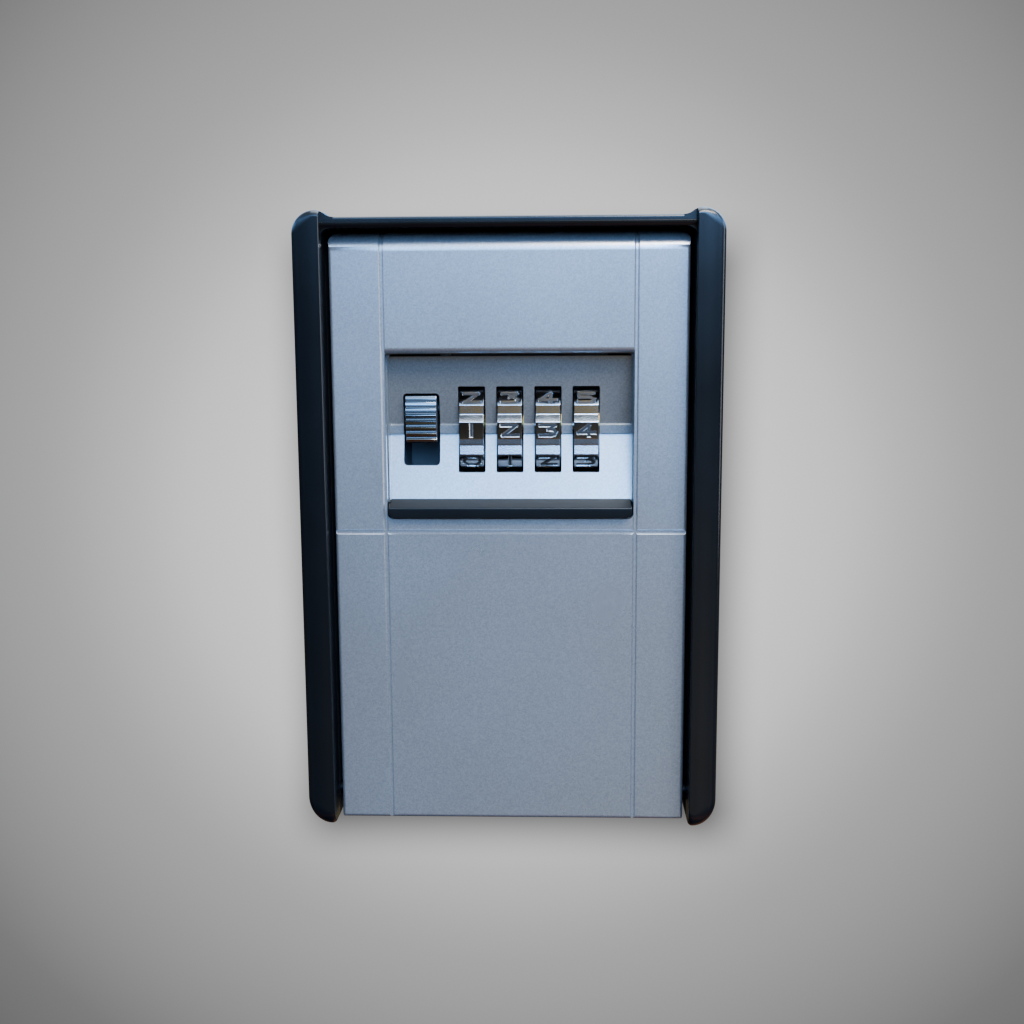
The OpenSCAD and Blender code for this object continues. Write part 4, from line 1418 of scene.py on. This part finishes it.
    def backdrop(self) -> None:
        """Hang the wall and lay the floor."""
        half_w, half_h = self.wall_half
        wall = self.sheet("stage_wall", Vector((0, self.wall_y, self.wall_z)), Vector((half_w, 0, 0)),
                          Vector((0, 0, half_h)))
        floor = self.sheet("stage_floor", Vector((0, self.wall_y - half_w, self.floor_z)),
                           Vector((half_w, 0, 0)), Vector((0, half_w, 0)))
        for piece, kind in ((wall, self.wall_paint()), (floor, self.floor_paint())):
            piece.data.materials.append(kind)
            piece.visible_glossy = False
            piece.visible_diffuse = False
            piece.visible_shadow = False

    def wall_paint(self) -> bpy.types.Material:
        """Return the wall's painted glow, seen from the front only, which falls off away from its brightest
        spot.
        """
        material = bpy.data.materials.new("wall_with_painted_glow_and_shadow")
        material.use_nodes = True
        tree = material.node_tree
        tree.nodes.clear()
        place = add_node(tree, "ShaderNodeTexCoord").outputs["Object"]
        from_glow = {"Location": (-self.glow_middle[0], 0.0, -self.glow_middle[1]), "Scale": (1.0, 0.0, 1.0)}
        offset = add_node(tree, "ShaderNodeMapping", from_glow, {"Vector": place}).outputs[0]
        length = {"operation": "LENGTH"}
        distance = add_node(tree, "ShaderNodeVectorMath", length, {0: offset}).outputs["Value"]
        # The glow is painted: an emission ramp by distance from one spot, not light from the lamps.
        ramp = add_node(tree, "ShaderNodeValToRGB", links={0: distance})
        set_ramp(ramp.color_ramp, [(far, linear(tone)) for far, tone in self.tones])
        # The box's painted shadow darkens the painted glow.
        glow = {"Color": ramp.outputs[0], "Strength": self.shadow(tree, place)}
        shader = add_node(tree, "ShaderNodeEmission", links=glow)
        nothing = add_node(tree, "ShaderNodeBsdfTransparent").outputs[0]
        behind = add_node(tree, "ShaderNodeNewGeometry").outputs["Backfacing"]
        one_sided = add_node(tree, "ShaderNodeMixShader", links={0: behind, 1: shader.outputs[0], 2: nothing})
        add_node(tree, "ShaderNodeOutputMaterial", links={"Surface": one_sided.outputs[0]})
        return material

    def shadow(self, tree: bpy.types.NodeTree, place: bpy.types.NodeSocket) -> bpy.types.NodeSocket:
        """Return the share of its glow that the wall keeps inside the box's painted soft shadow.

        Args:
            tree: The wall's node tree.
            place: Place on the wall.

        Returns:
            The share, 1 outside the shadow.
        """
        parts = add_node(tree, "ShaderNodeSeparateXYZ", links={0: place}).outputs
        shares = []
        for part, middle, half in zip((parts["X"], parts["Z"]), self.shadow_middle, self.shadow_half):
            off = add_node(tree, "ShaderNodeMath", {"operation": "SUBTRACT", 1: middle}, {0: part}).outputs[0]
            gap = add_node(tree, "ShaderNodeMath", {"operation": "ABSOLUTE"}, {0: off}).outputs[0]
            edges = {"From Min": half - self.shadow_blur, "From Max": half + self.shadow_blur, "To Min": 1.0,
                     "To Max": 0.0, "interpolation_type": "SMOOTHSTEP"}
            shares.append(add_node(tree, "ShaderNodeMapRange", edges, {"Value": gap}).outputs[0])
        inside = {0: shares[0], 1: shares[1]}
        both = add_node(tree, "ShaderNodeMath", {"operation": "MULTIPLY"}, inside).outputs[0]
        kept = {"operation": "MULTIPLY_ADD", 1: -self.shadow_depth, 2: 1.0}
        return add_node(tree, "ShaderNodeMath", kept, {0: both}).outputs[0]

    def floor_paint(self) -> bpy.types.Material:
        """Return the floor's pale matt paint."""
        return Finish("pale_studio_floor", "#b9b9b8", "#b3b3b2", 200, 0.8, 0.02, 2, 0.02).material()

    def room_ramp(self, tree: bpy.types.NodeTree, part: bpy.types.NodeSocket,
                  stops: Iterable[tuple[float, Colour]]) -> bpy.types.NodeSocket:
        """Return a ramp over one part of the direction.

        Args:
            tree: The world's node tree.
            part: The part of the direction, from -1 to 1.
            stops: Its values, each with a colour.

        Returns:
            The ramp's colour.
        """
        span = {"From Min": -1.0, "From Max": 1.0}
        share = add_node(tree, "ShaderNodeMapRange", span, {"Value": part}).outputs[0]
        ramp = add_node(tree, "ShaderNodeValToRGB", links={0: share})
        set_ramp(ramp.color_ramp, [((value + 1) / 2, colour) for value, colour in stops])
        return ramp.outputs[0]

    def world(self) -> None:
        """Fill the room with light banded by height and brighter on the right; the eye sees one plain tone."""
        world = bpy.data.worlds.new("room")
        bpy.context.scene.world = world
        world.use_nodes = True
        tree = world.node_tree
        tree.nodes.clear()
        direction = add_node(tree, "ShaderNodeTexCoord").outputs["Generated"]
        parts = add_node(tree, "ShaderNodeSeparateXYZ", links={0: direction}).outputs
        bands = []
        for level, colour, power in self.room:
            red, green, blue, _ = linear(colour)
            bands.append((level, (red * power, green * power, blue * power, 1.0)))
        light = self.room_ramp(tree, parts["Z"], bands)
        flat = []
        for part, factors in (("X", self.sides), ("Y", self.depths)):
            flat.append(self.room_ramp(tree, parts[part], [(value, (k, k, k, 1.0)) for value, k in factors]))
        times = {"operation": "MULTIPLY"}
        factor = add_node(tree, "ShaderNodeVectorMath", times, {0: flat[0], 1: flat[1]}).outputs[0]
        light = add_node(tree, "ShaderNodeVectorMath", times, {0: light, 1: factor}).outputs[0]
        seen = add_node(tree, "ShaderNodeBackground", {"Color": linear(self.far_tone)}).outputs[0]
        lit = add_node(tree, "ShaderNodeBackground", links={"Color": light}).outputs[0]
        camera_ray = add_node(tree, "ShaderNodeLightPath").outputs["Is Camera Ray"]
        mixed = add_node(tree, "ShaderNodeMixShader", links={0: camera_ray, 1: lit, 2: seen})
        add_node(tree, "ShaderNodeOutputWorld", links={"Surface": mixed.outputs[0]})

    def build(self) -> None:
        """Set up camera, stage, lamps and room."""
        self.camera()
        self.backdrop()
        for lamp in self.lamps:
            lamp.hang()
        self.world()


# ---- Build -----------------------------------------------------------------------------------


def corners(bounds: tuple[Vector, Vector]) -> list[list[float]]:
    """Return a box's two corners as plain lists."""
    return [list(corner) for corner in bounds]


def main() -> None:
    """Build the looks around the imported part."""
    logging.basicConfig(level=logging.INFO, format="%(name)s: %(message)s")
    cad_bounds = corners(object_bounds())
    Studio().build()
    InnerWorks().build()
    Surround().build()
    Door().build()
    DialPlate().build()
    NumberDials().build()
    OpeningLever().build()
    {"cad": cad_bounds, "visual": corners(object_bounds())}


if __name__ == "__main__":
    main()
